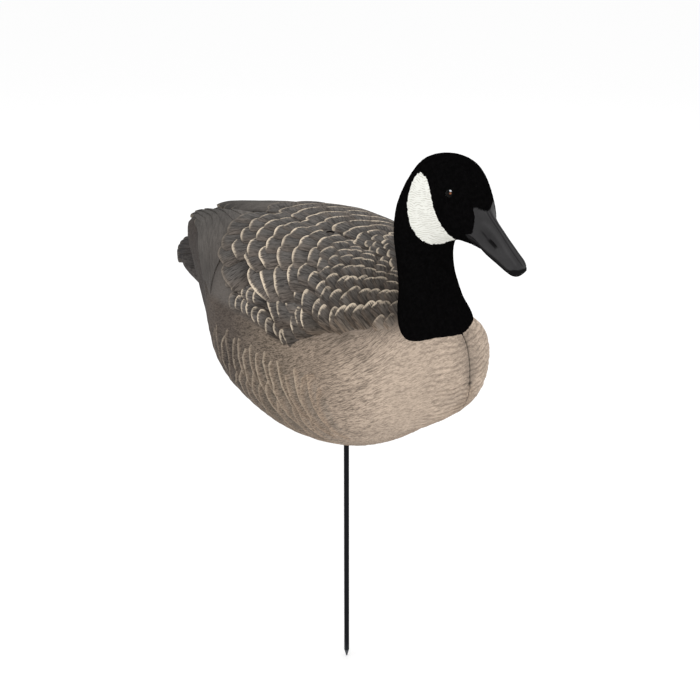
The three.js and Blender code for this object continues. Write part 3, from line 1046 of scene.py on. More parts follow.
@dataclass
class WingCoat(FeatherCoat):
    """Feathers of back, shoulder and folded wings, laid in slanting rows."""

    row_places: tuple = (
        -143, -119, -97, -76, -54, -32, -13, 3, 16, 27.5, 38, 48, 57.5, 66.5, 75.5, 84.5, 93.5,
        102.5,
    )
    last_pitch: float = 9.0
    small_pitch: float = 9.2
    small_width: float = 18.0
    small_length: float = 24.0
    front: float = 122.0
    hole_margin: float = 9.5

    def slant(self, x: float, s: float) -> float:
        """How far a row moves forward for each millimetre down the wing.

        Args:
            x: chart place along.
            s: chart place around.

        Returns:
            The slope.
        """
        rear = between([20, 40, 60, 85, 105, 140], [0.0, 0.4, 0.46, 0.56, 0.95, 1.15], s)
        front = between([20, 40, 60, 90, 130], [0.0, 0.3, 0.34, 0.36, 0.5], s)
        return lerp(rear, front, smooth(-25, 35, x))

    def row_x(self, number: int, s: float) -> float:
        """Where a row crosses the chart.

        Args:
            number: the row's number, from the wing's end forward.
            s: chart place around.

        Returns:
            Chart place along.
        """
        x = self.row_places[number] + 0.010 * max(26 - s, 0) ** 2
        place = 26.0
        while place < s:
            step = min(4.0, s - place)
            x += step * self.slant(x, place + step / 2)
            place += step
        return x

    def spacing(self, x: float, s: float) -> float:
        """Distance between the feathers of a row at chart places."""
        base = between([0, 12, 24, 40, 60, 100, 150], [18, 20, 24, 28, 29, 25, 22], s)
        return lerp(base, between([0, 10, 20, 150], [14, 16, 18.5, 20], s), smooth(-20, 32, x))

    def big(self, x: float, s: float) -> float:
        """Share from 0 to 1 of how much a feather is one of the wide ones of the mid wing."""
        return smooth(6, 34, s) * smooth(22, -12, x)

    def turn(self, x: float, s: float) -> float:
        """Which way a feather points, in degrees from straight back towards the belly."""
        up = smooth(-20, 20, x) * lerp(smooth(58, 16, s), smooth(135, 75, s), smooth(15, 50, x))
        return math.degrees(math.atan(self.slant(x, s))) + 2 + 3 * self.big(x, s) - 27 * up

    def rows(self, side: int, chance: np.random.Generator) -> list[Feather]:
        """All feathers of the slanting rows on one side.

        Args:
            side: RIGHT or LEFT.
            chance: source of small irregularities.

        Returns:
            The feathers.
        """
        feathers = []
        pitches = [*np.diff(self.row_places), self.last_pitch]
        for number, (place, pitch) in enumerate(zip(self.row_places, pitches)):
            s = 2.0 if number % 2 else 2.0 + 0.5 * self.spacing(place, 5.0)
            while True:
                x = self.row_x(number, s)
                limit = self.plumage.form.wing_edge(x)
                low_band = between([-78, -60, -20, 17, 25], [190, 122, 140, 156, 168], x)
                step = self.spacing(x, s)
                if s > min(limit, low_band) + 2 or x > self.front:
                    break
                fade = smooth(self.front, 86, x)
                if x > 30:
                    fade *= smooth(0, 16, limit - s)
                edge = (0.14, 0.62)[number] * fade if number < 2 else fade
                if x > 50:
                    fade *= smooth(6, 30, limit - s)
                big = self.big(x, s)
                slope = math.hypot(1.0, self.slant(x, s))
                width = step * slope * lerp(1.02, 1.42, big) * chance.uniform(0.93, 1.1)
                on_hole = math.hypot(x - HOLE_X - 4, s) < self.hole_margin
                if fade > 0.1 and not on_hole:
                    feathers.append(Feather(
                        x=x + chance.uniform(-2.3, 2.3), s=s + chance.uniform(-2.0, 2.0), side=side,
                        turn=self.turn(x, s) + chance.uniform(-8, 8), width=width,
                        length=max(pitch * 2.35, width * 1.1),
                        end=width * lerp(0.18, 0.2, big) * chance.uniform(0.75, 1.25),
                        lift=lerp(1.5, 2.9, smooth(14, 34, width)) * (0.15 + 0.85 * fade),
                        edge=edge * lerp(0.8, 1.1, big) * chance.uniform(0.65, 1.1),
                        pitch=pitch, edge_width=lerp(2.0, 2.4, big),
                        tilt=lerp(0.25, 0.8, big) * fade, skew=lerp(0.08, 0.24, big),
                        trim=lerp(0.85, 0.0, big), tone=chance.uniform(0, 1),
                        # shade is the painted shade under the row in front, weaker where the
                        # feather fades
                        root=lerp(-1.6, -0.8, fade), shade=lerp(1.0, 0.6, fade),
                    ))
                s += self.spacing(x, s + 0.5 * step) * chance.uniform(0.93, 1.07)
        return feathers

    def low_coverts(self, side: int, chance: np.random.Generator) -> list[Feather]:
        """Two rows of small feathers along the wing's lower edge.

        Args:
            side: RIGHT or LEFT.
            chance: source of small irregularities.

        Returns:
            The feathers.
        """
        feathers = []
        for level, start, stop in ((141.0, -64.0, -14.0), (158.0, -50.0, 30.0)):
            x = start
            while x < stop:
                feathers.append(Feather(
                    x=x + chance.uniform(-1, 1),
                    s=level + 0.05 * (x + 30) + chance.uniform(-2.2, 2.2), side=side,
                    turn=chance.uniform(4, 24), width=self.small_width * chance.uniform(0.9, 1.1),
                    length=self.small_length, end=5.2 * chance.uniform(0.85, 1.15),
                    lift=lerp(0.9, 2.4, (x - start) / (stop - start)),
                    edge=0.85 * chance.uniform(0.6, 1.0) * smooth(start - 6, start + 14, x),
                    pitch=self.small_pitch, edge_width=2.1, tilt=0.15, tone=chance.uniform(0, 1),
                ))
                x += self.small_pitch * chance.uniform(0.92, 1.08)
        return feathers

    def lay(self, sheet: Sheet, side: int, chance: np.random.Generator) -> None:
        """Add the feathers of one wing to a sheet."""
        for feather in self.low_coverts(side, chance) + self.rows(side, chance):
            self.plumage.bend(sheet, feather)


@dataclass
class LongFeathers(FeatherCoat):
    """Tertials and primaries of the folded wings, which run together to the wing tips."""

    start: float = -95.0
    end: float = 15.0
    underside: float = 2.6
    tips: tuple = (-206.0, -222.0, -236.0, -246.0, -250.0, -238.0, -216.0)

    def bend(self, sheet: Sheet, number: int, side: int, chance: np.random.Generator) -> None:
        """Bend one long feather along its lane of the wing and add it to a sheet.

        Args:
            sheet: the sheet that it joins.
            number: its lane, from the back outwards.
            side: RIGHT or LEFT.
            chance: source of small irregularities.
        """
        blank, faces = self.plumage.fine
        count = len(self.tips)
        turn = blank[:, 0] * math.pi / 2
        across = np.sin(turn) * side
        v = 1 - (1 - (blank[:, 1] + 1) / 2) ** 1.25
        length = self.start - self.tips[number]
        a = v * (length - self.end) + v**1.5 * self.end * np.cos(turn)
        ahead = (a - length + self.end) / self.end
        x = self.start - a
        lane = lerp(0.06, 1.02, (number + 0.5) / count)
        share = lane + 0.96 / count * (0.9 * across * lerp(1.0, 0.8, v) + 0.15)
        s = share * self.plumage.form.wing_edge(x)
        tone = chance.uniform(0, 1)
        rim = np.hypot(across, np.maximum(ahead, 0))
        lift = lerp(-0.6, 1.5 + 0.25 * (count - number), v) + 0.9 * across + 0.5 * (1 - across**2)
        lift = np.where(blank[:, 2] < -0.5, -self.underside, lift - 0.4 * smooth(0.88, 1.0, rim))
        x = np.clip(x, -self.plumage.form.rear + 0.6, self.plumage.form.front)
        points = self.plumage.form.lifted(x, s * side, lift)
        # painted shade along the edge that tucks under the next feather, a random tone for each
        # feather, and darker towards the tips
        shade = lerp(0.72, 1.06, smooth(-1.0, -0.35, across)) * chance.uniform(0.93, 1.05)
        shade = shade * lerp(1.0, 0.78, smooth(length - 40, length, a))
        sheet.add(
            points,
            faces,
            paint=self.plumage.coat.above(x, s) * shade[:, None],
            mark=[0.22, 0.09, tone, 0.35],
            quill=columns(across, ahead),
            flow=columns((a + 9 * np.abs(across)) / 9.0, a / 6.0 + across * 7.0, tone * 90),
        )

    def lay(self, sheet: Sheet, side: int, chance: np.random.Generator) -> None:
        """Add the long feathers of one wing to a sheet."""
        for number in range(len(self.tips)):
            self.bend(sheet, number, side, chance)


@dataclass
class FlankCoat(FeatherCoat):
    """Wide soft-edged feathers of the flank, in upright wavy rows.

    A band has its chart place around, the width of its feathers, its first and last place along
    and the strength of its painted edges.
    """

    bands: tuple = (
        (300.0, 60.0, -52.0, 40.0, 0.25),
        (262.0, 74.0, -72.0, 62.0, 0.36),
        (214.0, 76.0, -88.0, 74.0, 0.42),
    )
    pitch: float = 9.6
    length: float = 30.0
    end: float = 15.0
    swing: float = 7.0

    def feathers(self, side: int, chance: np.random.Generator) -> list[Feather]:
        """All flank feathers of one side.

        Args:
            side: RIGHT or LEFT.
            chance: source of small irregularities.

        Returns:
            The feathers.
        """
        made = []
        for level, width, first, last, strength in self.bands:
            x = first
            swing = -self.swing
            while x < last:
                fade = smooth(last + 4, last - 55, x)
                rear = smooth(first - 6, first + 30, x)
                shown = 0.78 * strength * (0.35 + 0.65 * fade) * rear
                made.append(Feather(
                    x=x + chance.uniform(-1.2, 1.2), s=level + swing + chance.uniform(-4, 4),
                    side=side, turn=lerp(-6, 9, smooth(-70, 40, x)) + chance.uniform(-2.5, 2.5),
                    width=width * chance.uniform(0.85, 1.1), length=self.length,
                    end=self.end * chance.uniform(0.85, 1.15),
                    lift=0.9 * fade * lerp(0.4, 1.0, rear), edge=shown * chance.uniform(0.5, 1.0),
                    pitch=self.pitch, edge_width=2.6, tilt=0.1, tone=chance.uniform(0.1, 0.9),
                    # shade is the painted shade under the row in front, weaker where the feather
                    # fades
                    root=lerp(-1.5, -0.8, fade), shade=lerp(0.98, 0.85, fade),
                    wave=1.3, skew=0.12,
                ))
                x += self.pitch * chance.uniform(0.85, 1.15)
                swing = -swing
        return made

    def lay(self, sheet: Sheet, side: int, chance: np.random.Generator) -> None:
        """Add the flank feathers of one side to a sheet."""
        for feather in self.feathers(side, chance):
            self.plumage.bend(sheet, feather, below=True)


@dataclass
class Body:
    """The carved skin of the body, from breast to wing tips."""

    form: BodyForm
    coat: Coat
    rings: int = 330
    top_columns: int = 34
    low_columns: int = 106
    hole_radius: float = 4.6
    hole_depth: float = 14.0
    ridge: float = 2.4
    seam: float = 0.9
    wing_seat: float = 1.1
    ripple_pitch: float = 6.4

    def places(self) -> np.ndarray:
        """Places of the rings along the body, closer over breast and flank.

        Returns:
            Millimetres forward of the stake.
        """
        even = np.linspace(-1, 1, self.rings)
        turn = between([-1, -0.55, 1], [-math.pi / 2, -0.42, math.pi / 2], even)
        return self.form.along(np.clip(turn, -ALMOST_QUARTER, ALMOST_QUARTER))

    def below(self, x: np.ndarray, s: np.ndarray) -> np.ndarray:
        """Share from 0 to 1 of how far chart places are under the wing's edge."""
        return smooth(-3, 5, np.abs(s) - self.form.wing_edge(x))

    def relief(self, x: np.ndarray, s: np.ndarray, points: np.ndarray) -> np.ndarray:
        """Height of the carving on the skin.

        Args:
            x: chart places along.
            s: chart places around.
            points: where they are in space.

        Returns:
            Millimetres out of the form.
        """
        beyond = np.abs(s) - self.form.wing_edge(x)
        below = self.below(x, s)
        ridge = self.ridge * below * smooth(70, 4, beyond)
        ridge = ridge * smooth(-150, -95, x) * smooth(85, 35, x)
        flow = self.coat.flow(points)
        ripple = grain(flow * [0.28, 0.31, 1.0], 3) - 0.5
        ripple += 0.7 * (grain(flow * [0.5, 0.52, 1.0], 4) - 0.5) + 0.55 * self.ripples(points)
        seam = bell(points[..., 1] / self.seam) * smooth(150, 170, x)
        neck = np.hypot((x - 138) / 42, points[..., 1] / 52)
        ripple = ripple * (1 - 0.85 * smooth(1.4, 1.05, neck) * smooth(480, 500, points[..., 2]))
        under = -self.wing_seat * (1 - below) * smooth(130, 100, x)
        strength = lerp(0.6, 0.95, smooth(20, 80, x))
        return ridge + strength * ripple * below * (1 - 0.8 * seam) + under - self.seam * seam

    def ripples(self, points: np.ndarray) -> np.ndarray:
        """Wavy level ripples on both sides of the breast's seam.

        Args:
            points: places on the skin, in millimetres.

        Returns:
            Values from -1 to 1.
        """
        bent = 0.9 * grain(points / [16.0, 13.0, 16.0], 12) + 0.3 * grain(points / 5.0, 13)
        broken = smooth(0.2, 0.5, grain(points / [9.0, 9.0, 4.0], 14))
        reach = smooth(74, 36, np.abs(points[..., 1])) * smooth(108, 140, points[..., 0])
        return np.sin(2 * math.pi * (points[..., 2] / self.ripple_pitch + bent)) * broken * reach

    def piece(self, material: bpy.types.Material) -> bpy.types.Object:
        """Make the skin as one closed piece.

        Args:
            material: its finish.

        Returns:
            The piece.
        """
        xs = self.places()[:, None]
        girth = self.form.girth(xs)
        edge = np.clip(self.form.wing_edge(xs) / girth, 0.06, 0.6)
        top = np.linspace(0, 1, self.top_columns, endpoint=False)
        low = np.linspace(0, 1, self.low_columns)
        right = np.concatenate([top * edge, lerp(edge, 1.0, low)], axis=1) * girth
        s = np.concatenate([right, -right[:, -2:0:-1]], axis=1)
        x = np.broadcast_to(xs, s.shape)
        every, faces = loft(self.form.lifted(x, s, self.relief(x, s, self.form.at(x, s))))
        colour = self.coat.colour(x, s).reshape(-1, 3)
        colour = np.concatenate([colour, colour[[0, -1]]])
        seam = bell(every[:, 1] / 0.7) * smooth(155, 172, every[:, 0])
        ripples = self.ripples(every)
        # painted shade in the ripples' troughs and painted light on their crests
        shade = 0.28 * smooth(-0.2, -0.8, ripples) - 0.07 * smooth(0.1, 0.8, ripples)
        along = [-110, -50, 0, 60, 115, 150]
        drawn = between(along, [0.5, 0.6, 1.0, 0.95, 0.9, 0.5], every[:, 0])
        drawn = (0.35 + 0.65 * with_ends(self.below(x, s), 0, 1)) * drawn
        sheet = Sheet()
        sheet.add(
            every,
            faces,
            paint=colour * (1.03 - 0.72 * seam - shade)[:, None],
            mark=columns(0.0, 0.1, 0.5, drawn),
            flow=self.coat.flow(every),
        )
        made = sheet.piece("body_skin", material, 75.0)
        self.drill(made)
        return made

    def drill(self, skin: bpy.types.Object) -> None:
        """Cut the hanging hole into the middle of the back.

        Args:
            skin: the piece that is cut.
        """
        top = float(self.form.at(HOLE_X, 0.0)[2])
        size = {"radius": self.hole_radius * MM, "depth": 2 * self.hole_depth * MM}
        at = (HOLE_X * MM, 0, top * MM)
        bpy.ops.mesh.primitive_cylinder_add(vertices=40, location=at, **size)
        bit = bpy.context.object
        bit.data.materials.append(skin.data.materials[0])
        pick(skin)
        cut = skin.modifiers.new("hanging_hole", "BOOLEAN")
        cut.object = bit
        cut.operation = "DIFFERENCE"
        cut.solver = "EXACT"
        bpy.ops.object.modifier_apply(modifier=cut.name)
        bpy.data.meshes.remove(bit.data)
        # painted shade: the hole's wall and rim are painted near black
        paint, mark = (skin.data.color_attributes[title].data for title in ("paint", "mark"))
        for v in skin.data.vertices:
            off = math.hypot(v.co.x / MM - HOLE_X, v.co.y / MM)
            if off < self.hole_radius + 0.1 and v.co.z / MM > top - self.hole_depth - 1:
                paint[v.index].color = (0.004, 0.0035, 0.003, 1.0)
                mark[v.index].color = (0.0, 0.1, 0.5, 0.0)


@dataclass
class Tail:
    """Fan of tail feathers under the wing tips, with the coverts that it comes out of."""

    form: BodyForm
    pivot: float = -112.0
    length: float = 171.0
    feathers: int = 11
    angle: float = 16.5
    step: float = 0.75
    first: float = 0.35
    arch: tuple = (0.785, 0.7)  # heights of root and tip, as shares of the body's
    droop: float = 13.0
    thickness: tuple = (16.0, 5.5)
    rim: float = 0.06
    columns: int = 9
    steps: int = 44
    covert_rings: int = 46
    covert_sides: int = 72
    covert_rows: tuple = (
        (0.5, 0.76, 0.36, 0.5),
        (0.56, 0.74, 0.42, 0.48),
        (0.78, 0.72, 0.52, 0.45),
        (0.93, 0.685, 0.6, 0.37),
        (1.03, 0.67, 0.635, 0.24),
    )

    def fan(self, sheet: Sheet) -> None:
        """Add the fan to a sheet.

        Args:
            sheet: the sheet that it joins.
        """
        n, k = np.divmod(np.arange(self.feathers * (self.columns + 1))[:, None], self.columns + 1)
        k = k / self.columns
        t = np.linspace(self.first, 1, self.steps + 1)[None, :]
        share = 2 * (n + k) / self.feathers - 1
        angle = np.radians(self.angle) * share
        bow = np.clip(1 - (2 * k - 1) ** 2, 0, 1)
        length = self.length * (1 - 0.12 * np.abs(share) ** 2.3) - 0.6 * (1 - bow**0.5)
        x, y = self.pivot - t * length * np.cos(angle), t * length * np.sin(angle)
        rank = np.abs(n - (self.feathers - 1) / 2)
        arch = self.form.belly + self.form.height * lerp(*self.arch, t)
        arch = arch - self.droop * t * np.abs(share) ** 1.7
        top = arch + t * (self.step * (2.5 - rank) + 0.6 * bow) - 0.5 * smooth(0.985, 1, t)
        under = columns(x, y, arch - lerp(*self.thickness, t))[:, ::-1]
        every, faces = loft(np.concatenate([columns(x, y, top), under], axis=1), flip=True)
        along = np.broadcast_to(t, x.shape)
        along = np.concatenate([along, along[:, ::-1]], axis=1)
        cross = with_ends(np.broadcast_to(2 * k - 1, along.shape), 0, 0)
        tone = with_ends(np.broadcast_to((n * 0.37) % 1, along.shape), 0.5, 0.5)
        end = with_ends(along, 1, 1)
        colour = lerp(Zone.TAIL.colour(), Zone.TAIL_END.colour(), smooth(0.86, 0.99, end)[:, None])
        sheet.add(
            every,
            faces,
            paint=colour,
            mark=columns(0.05, 0.12, tone, 0.45),
            quill=columns(cross, with_ends((along - (1 - self.rim)) / self.rim, 0, 0)),
            flow=columns(end * self.length / 9, cross * 8, tone * 90),
        )

    def coverts(self, sheet: Sheet) -> None:
        """Add the coverts above and below the fan's root to a sheet.

        Args:
            sheet: the sheet that they join.
        """
        share = np.linspace(0.5, 1.03, self.covert_rings)
        top, bottom, width = np.hsplit(curve_through(np.array(self.covert_rows), share), 3)
        turn = np.linspace(0, 2 * math.pi, self.covert_sides, endpoint=False)
        s, c = np.sin(turn), np.cos(turn)
        middle = self.form.belly + self.form.height * lerp(bottom, top, 0.6)
        reach = self.form.height * (top - bottom) * np.where(s > 0, 0.4, 0.6)
        x = -share[:, None] * self.form.rear
        rings = columns(x, width * self.form.half_width * c, middle + reach * s)
        rings[..., 2] += 0.5 * (grain(rings / [7.0, 2.2, 9.0], 8) - 0.5)
        every, faces = loft(rings)
        low = smooth(-0.2, -0.9, with_ends(np.tile(s, self.covert_rings), 0, 0))[:, None]
        colour = lerp(Zone.TAIL.colour(), Zone.BELLY.colour(), 0.25 * low)
        flow = every / [9.0, 1.3, 2.0]
        sheet.add(every, faces, paint=colour, mark=[0.0, 0.1, 0.5, 0.9], flow=flow)

    def piece(self, material: bpy.types.Material) -> bpy.types.Object:
        """Make the tail as one piece.

        Args:
            material: its finish.

        Returns:
            The piece.
        """
        sheet = Sheet()
        self.fan(sheet)
        self.coverts(sheet)
        return sheet.piece("tail_fan", material)


@dataclass
class HeadForm:
    """Neck, head and bill as one form.

    A station has x and z of its upper line, x and z of its lower line, its half width and how
    square it is, all but the last as shares of the size.
    """

    x: float = 140.0
    z: float = 526.8
    size: float = 200.0
    stations: tuple = (
        (-0.15, -0.04, 0.12, -0.12, 0.19, 1.15),
        (-0.21, 0.06, 0.185, -0.02, 0.26, 1.15),
        (-0.215, 0.225, 0.115, 0.12, 0.2, 1.0),
        (-0.245, 0.39, 0.06, 0.27, 0.175, 1.0),
        (-0.275, 0.535, 0.045, 0.4, 0.17, 1.0),
        (-0.265, 0.68, 0.07, 0.5, 0.165, 1.0),
        (-0.205, 0.825, 0.125, 0.545, 0.16, 1.0),
        (-0.105, 0.95, 0.17, 0.555, 0.16, 1.0),
        (0.035, 1.0, 0.215, 0.555, 0.16, 1.0),
        (0.17, 0.985, 0.26, 0.55, 0.145, 1.0),
        (0.265, 0.88, 0.305, 0.535, 0.105, 1.0),
        (0.32, 0.75, 0.35, 0.505, 0.075, 0.92),
        (0.41, 0.66, 0.41, 0.475, 0.06, 0.9),
        (0.495, 0.58, 0.47, 0.45, 0.055, 0.85),
        (0.55, 0.53, 0.515, 0.44, 0.05, 0.85),
        (0.575, 0.49, 0.54, 0.45, 0.02, 1.0),
    )

    def at(self, row: np.ndarray, degrees: np.ndarray) -> np.ndarray:
        """Points of the form.

        Args:
            row: place along, from 0 at the neck's base to 15 at the bill's tip.
            degrees: place around, 0 at the goose's left, 90 over, 180 right, 270 under.

        Returns:
            Points in millimetres.
        """
        rows = np.insert(np.array(self.stations), 0, np.arange(len(self.stations)), axis=1)
        v = curve_through(rows, row.ravel()).reshape(row.shape + (6,))
        over_x, over_z, under_x, under_z, wide, power = np.moveaxis(v, -1, 0)
        s, c = np.sin(np.radians(degrees)), np.cos(np.radians(degrees))
        share = 0.5 + 0.5 * np.sign(s) * np.abs(s) ** power
        y = np.maximum(wide, 0.004) * np.sign(c) * np.abs(c) ** power
        x, z = lerp(under_x, over_x, share), lerp(under_z, over_z, share)
        return self.size * columns(x, y, z) + [self.x, 0, self.z]


@dataclass
class Head:
    """The flocked neck and head with its bare bill, cheek patches and eyes."""

    form: HeadForm
    sides: int = 192
    flock_depth: float = 0.7
    nap_height: float = 0.38
    ridge_height: float = 0.18
    culmen_depth: float = 0.5
    mouth_depth: float = 0.7
    nail_depth: float = 0.3
    hollow_depth: float = 0.9
    nostril_depth: float = 1.7
    groove_depth: float = 0.4
    eye_radius: float = 5.2
    nostril: tuple = (219.0, 647.4)
    nostril_lean: float = math.radians(-46)
    flock_edge: tuple = (
        (90, 10.99), (103, 10.94), (112, 10.85), (128, 10.63), (148, 10.2), (152, 10.2),
        (158, 10.38), (168, 10.38), (183, 10.27), (196, 10.1), (205, 9.9), (212, 9.5),
        (216, 9.25), (222, 9.3), (232, 9.6), (245, 9.9), (270, 10.2),
    )
    patch_marks: tuple = (
        (128, 222.5), (137, 221.4), (145.3, 217), (152, 205), (157, 192), (162.8, 177),
        (168.5, 164.5), (170.4, 157), (163, 151.5), (151, 147.2), (144, 148.2), (138.5, 151.5),
        (132.5, 157.3), (127.3, 163.8), (122.4, 174), (119, 184.5), (117.9, 196), (119, 207.5),
        (122.7, 217),
    )
    patch_level: float = 484.0
    patch_layers: int = 26
    patch_thickness: float = 0.55
    patch_lift: float = 0.05
    patch_depth: float = 1.6
    eye_dome: float = 0.3
    painted_glint_way: tuple = (0.62, 0.7, 0.353)  # directions from the eye's middle, y outward, to the painted glint and the painted highlight
    painted_highlight_way: tuple = (0.42, 0.39, 0.82)

    def covered(self, row: np.ndarray, degrees: np.ndarray) -> np.ndarray:
        """How far a place is inside the flock.

        Args:
            row: place along.
            degrees: place around.

        Returns:
            Over 0.5 for flock, under it for the bare bill.
        """
        around = np.where(degrees < 90, 180 - degrees, degrees)
        around = np.where(degrees > 270, 540 - degrees, around)
        places, edge = np.array(self.flock_edge).T
        return np.clip(0.5 + (between(places, edge, around) - row) * 2.6, 0, 1)

    def rows(self) -> np.ndarray:
        """Places of the rings, closest over the bill.

        Returns:
            Places from 0 to 15.
        """
        spans = ((0, 1, 8), (1, 9, 150), (9, 14.4, 150))
        even = [np.linspace(start, stop, count, endpoint=False) for start, stop, count in spans]
        return np.concatenate([*even, 15 - 0.6 * np.linspace(1, 0, 16) ** 2])

    def piece(self, material: bpy.types.Material) -> bpy.types.Object:
        """Make neck, head and bill as one closed piece.

        Args:
            material: its finish.

        Returns:
            The piece.
        """
        turn = np.arange(self.sides) * 360.0 / self.sides
        row, degrees = np.meshgrid(self.rows(), turn, indexing="ij")
        points = self.form.at(row, degrees)
        along = self.form.at(row + 0.02, degrees) - self.form.at(row - 0.02, degrees)
        out = square_to(self.form.at(row, degrees + 0.6) - self.form.at(row, degrees - 0.6), along)
        out *= np.sign(((points - points.mean(axis=1, keepdims=True)) * out).sum(-1).mean())
        flock = self.covered(row, degrees)
        half = np.where(degrees > 270, 450 - degrees, np.abs(degrees - 90))
        widening = smooth(11, 13.6, row)
        culmen = bell((half - lerp(7, 13, widening)) / 4.5) * smooth(14.6, 14.2, row)
        ridge = bell((half - lerp(19, 26, widening)) / 6.0) * smooth(13.2, 11.5, row)
        lip = between([9.3, 10.5, 11.9, 13.3, 14.2], [126, 126, 118, 109, 104], row)
        mouth = bell((half - lip) / 3.6) * smooth(14.4, 13.9, row)
        lower = smooth(lip + 1, lip + 7, half)
        end = between([0, 38, 64, 84, 109], [14.7, 14.6, 14.4, 13.9, 13.2], half)
        nail = bell((row - end) / 0.08) * smooth(112, 104, half)
        ahead, up = points[..., 0] - self.nostril[0], points[..., 2] - self.nostril[1]
        c, s = math.cos(self.nostril_lean), math.sin(self.nostril_lean)
        u, w = ahead * c + up * s, up * c - ahead * s
        side = np.abs(points[..., 1]) > 4
        hollow = bell((u + 4) / 14.0, 4) * bell((w - 1.0) / 5.2) * side
        slot = bell(u / 5.8, 4) * bell((w - 0.16 * u) / 2.1, 4) * side
        groove = bell((u + 12) / 5.0, 4) * bell((w + 1.2) / 0.9) * side
        lift = self.flock_depth * (smooth(0.4, 0.62, flock) - 1) * smooth(14.9, 14.0, row)
        nap = grain(points / 1.9, 1) - 0.5 + 0.5 * (grain(points / 6.5, 2) - 0.5)
        lift += self.nap_height * nap * smooth(0.5, 0.7, flock)
        cut = self.culmen_depth * culmen + self.mouth_depth * mouth + self.nail_depth * nail
        cut = cut + self.hollow_depth * hollow + self.nostril_depth * slot
        cut = cut + self.groove_depth * groove
        lift += (1 - smooth(0.4, 0.6, flock)) * (self.ridge_height * ridge - cut)
        every, faces = loft(points + out * lift[..., None])
        # painted shade in culmen, mouth line, nostril, its hollow and groove, and on the bill's
        # underside
        dark = 0.6 * culmen + 0.9 * mouth + slot + 0.3 * hollow + 0.6 * groove + 0.95 * lower
        tip = smooth(-0.06, 0.12, row - end)
        mark = columns(flock, np.clip(dark, 0, 1), tip, 1.0).reshape(-1, 4)
        sheet = Sheet()
        sheet.add(every, faces, mark=np.concatenate([mark, [[1, 0, 0, 1], [0, 0, 1, 1]]]))
        made = sheet.piece("neck_head_and_bill", material, 70.0)
        face_out(made)
        return made

    def patch_outline(self) -> np.ndarray:
        """Outline of the cheek patch seen from the side.

        Returns:
            Its x and z in millimetres.
        """
        marks = np.array(self.patch_marks)
        closed = np.vstack([marks[-2:], marks, marks[:3]])
        rows = np.column_stack([np.arange(len(closed)) - 2.0, closed])
        ring = curve_through(rows, np.linspace(0, len(marks), 360, endpoint=False))
        return ring + [0, self.patch_level]

    def patch(
        self, head: bpy.types.Object, side: int, material: bpy.types.Material
    ) -> bpy.types.Object:
        """Make the cheek patch of one side as a thin closed layer over the flock.

        Args:
            head: the head that it lies on.
            side: RIGHT or LEFT.
            material: its finish.

        Returns:
            The piece.
        """
        corners = [v.co for v in head.data.vertices]
        tree = BVHTree.FromPolygons(corners, [p.vertices for p in head.data.polygons])
        ring = self.patch_outline()
        middle, count = ring.mean(axis=0), len(ring)
        fray = grain(np.column_stack([ring / 1.3, np.zeros(count)]), 6 + side) - 0.5
        radial = ring - middle
        radial = radial * (1 + 2.0 * fray[:, None] / np.linalg.norm(radial, axis=1, keepdims=True))
        shares = 1 - np.linspace(0, 1, self.patch_layers)[:-1] ** 1.15
        places = np.concatenate([middle + radial * share for share in shares] + [[middle]])
        thickness = self.patch_thickness * smooth(0, 0.08, 1 - shares) + self.patch_lift
        lifts = np.append(np.repeat(thickness, count), self.patch_thickness + self.patch_lift)
        top = []
        for (x, z), lift in zip(places * MM, lifts):
            hit, normal, _, _ = tree.ray_cast(Vector((x, -side * 0.2, z)), Vector((0, side, 0)))
            if hit is None:
                hit, normal, _, _ = tree.find_nearest(Vector((x, 0, z)))
            if normal.y * side > 0:
                normal = -normal
            top.append(np.array(hit) / MM + np.array(normal) * lift)
        total, last = len(top), len(top) - 1 - count
        k = np.arange(count)
        turn = np.roll(k, -1)
        a = count * np.arange(len(shares) - 1)[:, None]
        faces = columns(a + k, a + turn, a + turn + count, a + k + count).reshape(-1, 4).tolist()
        faces += columns(last + k, last + turn, total - 1).tolist()
        faces += [[total + i for i in reversed(f)] for f in faces]
        faces += columns(k, total + k, total + turn, turn).tolist()
        sheet = Sheet()
        sheet.add(np.concatenate([top, np.array(top) + [0, side * self.patch_depth, 0]]), faces)
        name = "cheek_patch_right" if side == RIGHT else "cheek_patch_left"
        made = sheet.piece(name, material, 60.0)
        face_out(made)
        return made

    def eye(self, node: str, material: bpy.types.Material) -> bpy.types.Object:
        """Make the set eye that stands for a CAD node, with a clear dome over its iris.

        Args:
            node: the CAD node's name.
            material: its finish.

        Returns:
            The piece.
        """
        low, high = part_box(node)
        centre = (Vector(low) + Vector(high)) / 2
        radius = self.eye_radius * MM
        size = {"segments": 64, "ring_count": 48, "radius": radius}
        bpy.ops.mesh.primitive_uv_sphere_add(location=centre, **size)
        made = bpy.context.object
        made.name = made.data.name = node + "_glass"
        bpy.ops.object.transform_apply(location=True, rotation=True, scale=True)
        outward = -1 if centre.y < 0 else 1
        for v in made.data.vertices:
            facing = (v.co.y - centre.y) * outward / radius
            v.co.y += outward * self.eye_dome * MM * smooth(0.8, 1.0, facing)
        ways = np.array([v.co - centre for v in made.data.vertices]) / radius
        ways[:, 1] *= outward
        # painted glint in the iris and painted highlight on the upper front, fixed to the eye
        painted_glint = smooth(0.965, 0.99, ways @ self.painted_glint_way)
        highlight_spot = smooth(0.95, 0.985, ways @ self.painted_highlight_way)
        layer = made.data.color_attributes.new(name="mark", type="FLOAT_COLOR", domain="POINT")
        layer.data.foreach_set("color", columns(painted_glint, highlight_spot, 0.0, 1.0).ravel())
        bpy.ops.object.shade_smooth()
        made.data.materials.append(material)
        return made


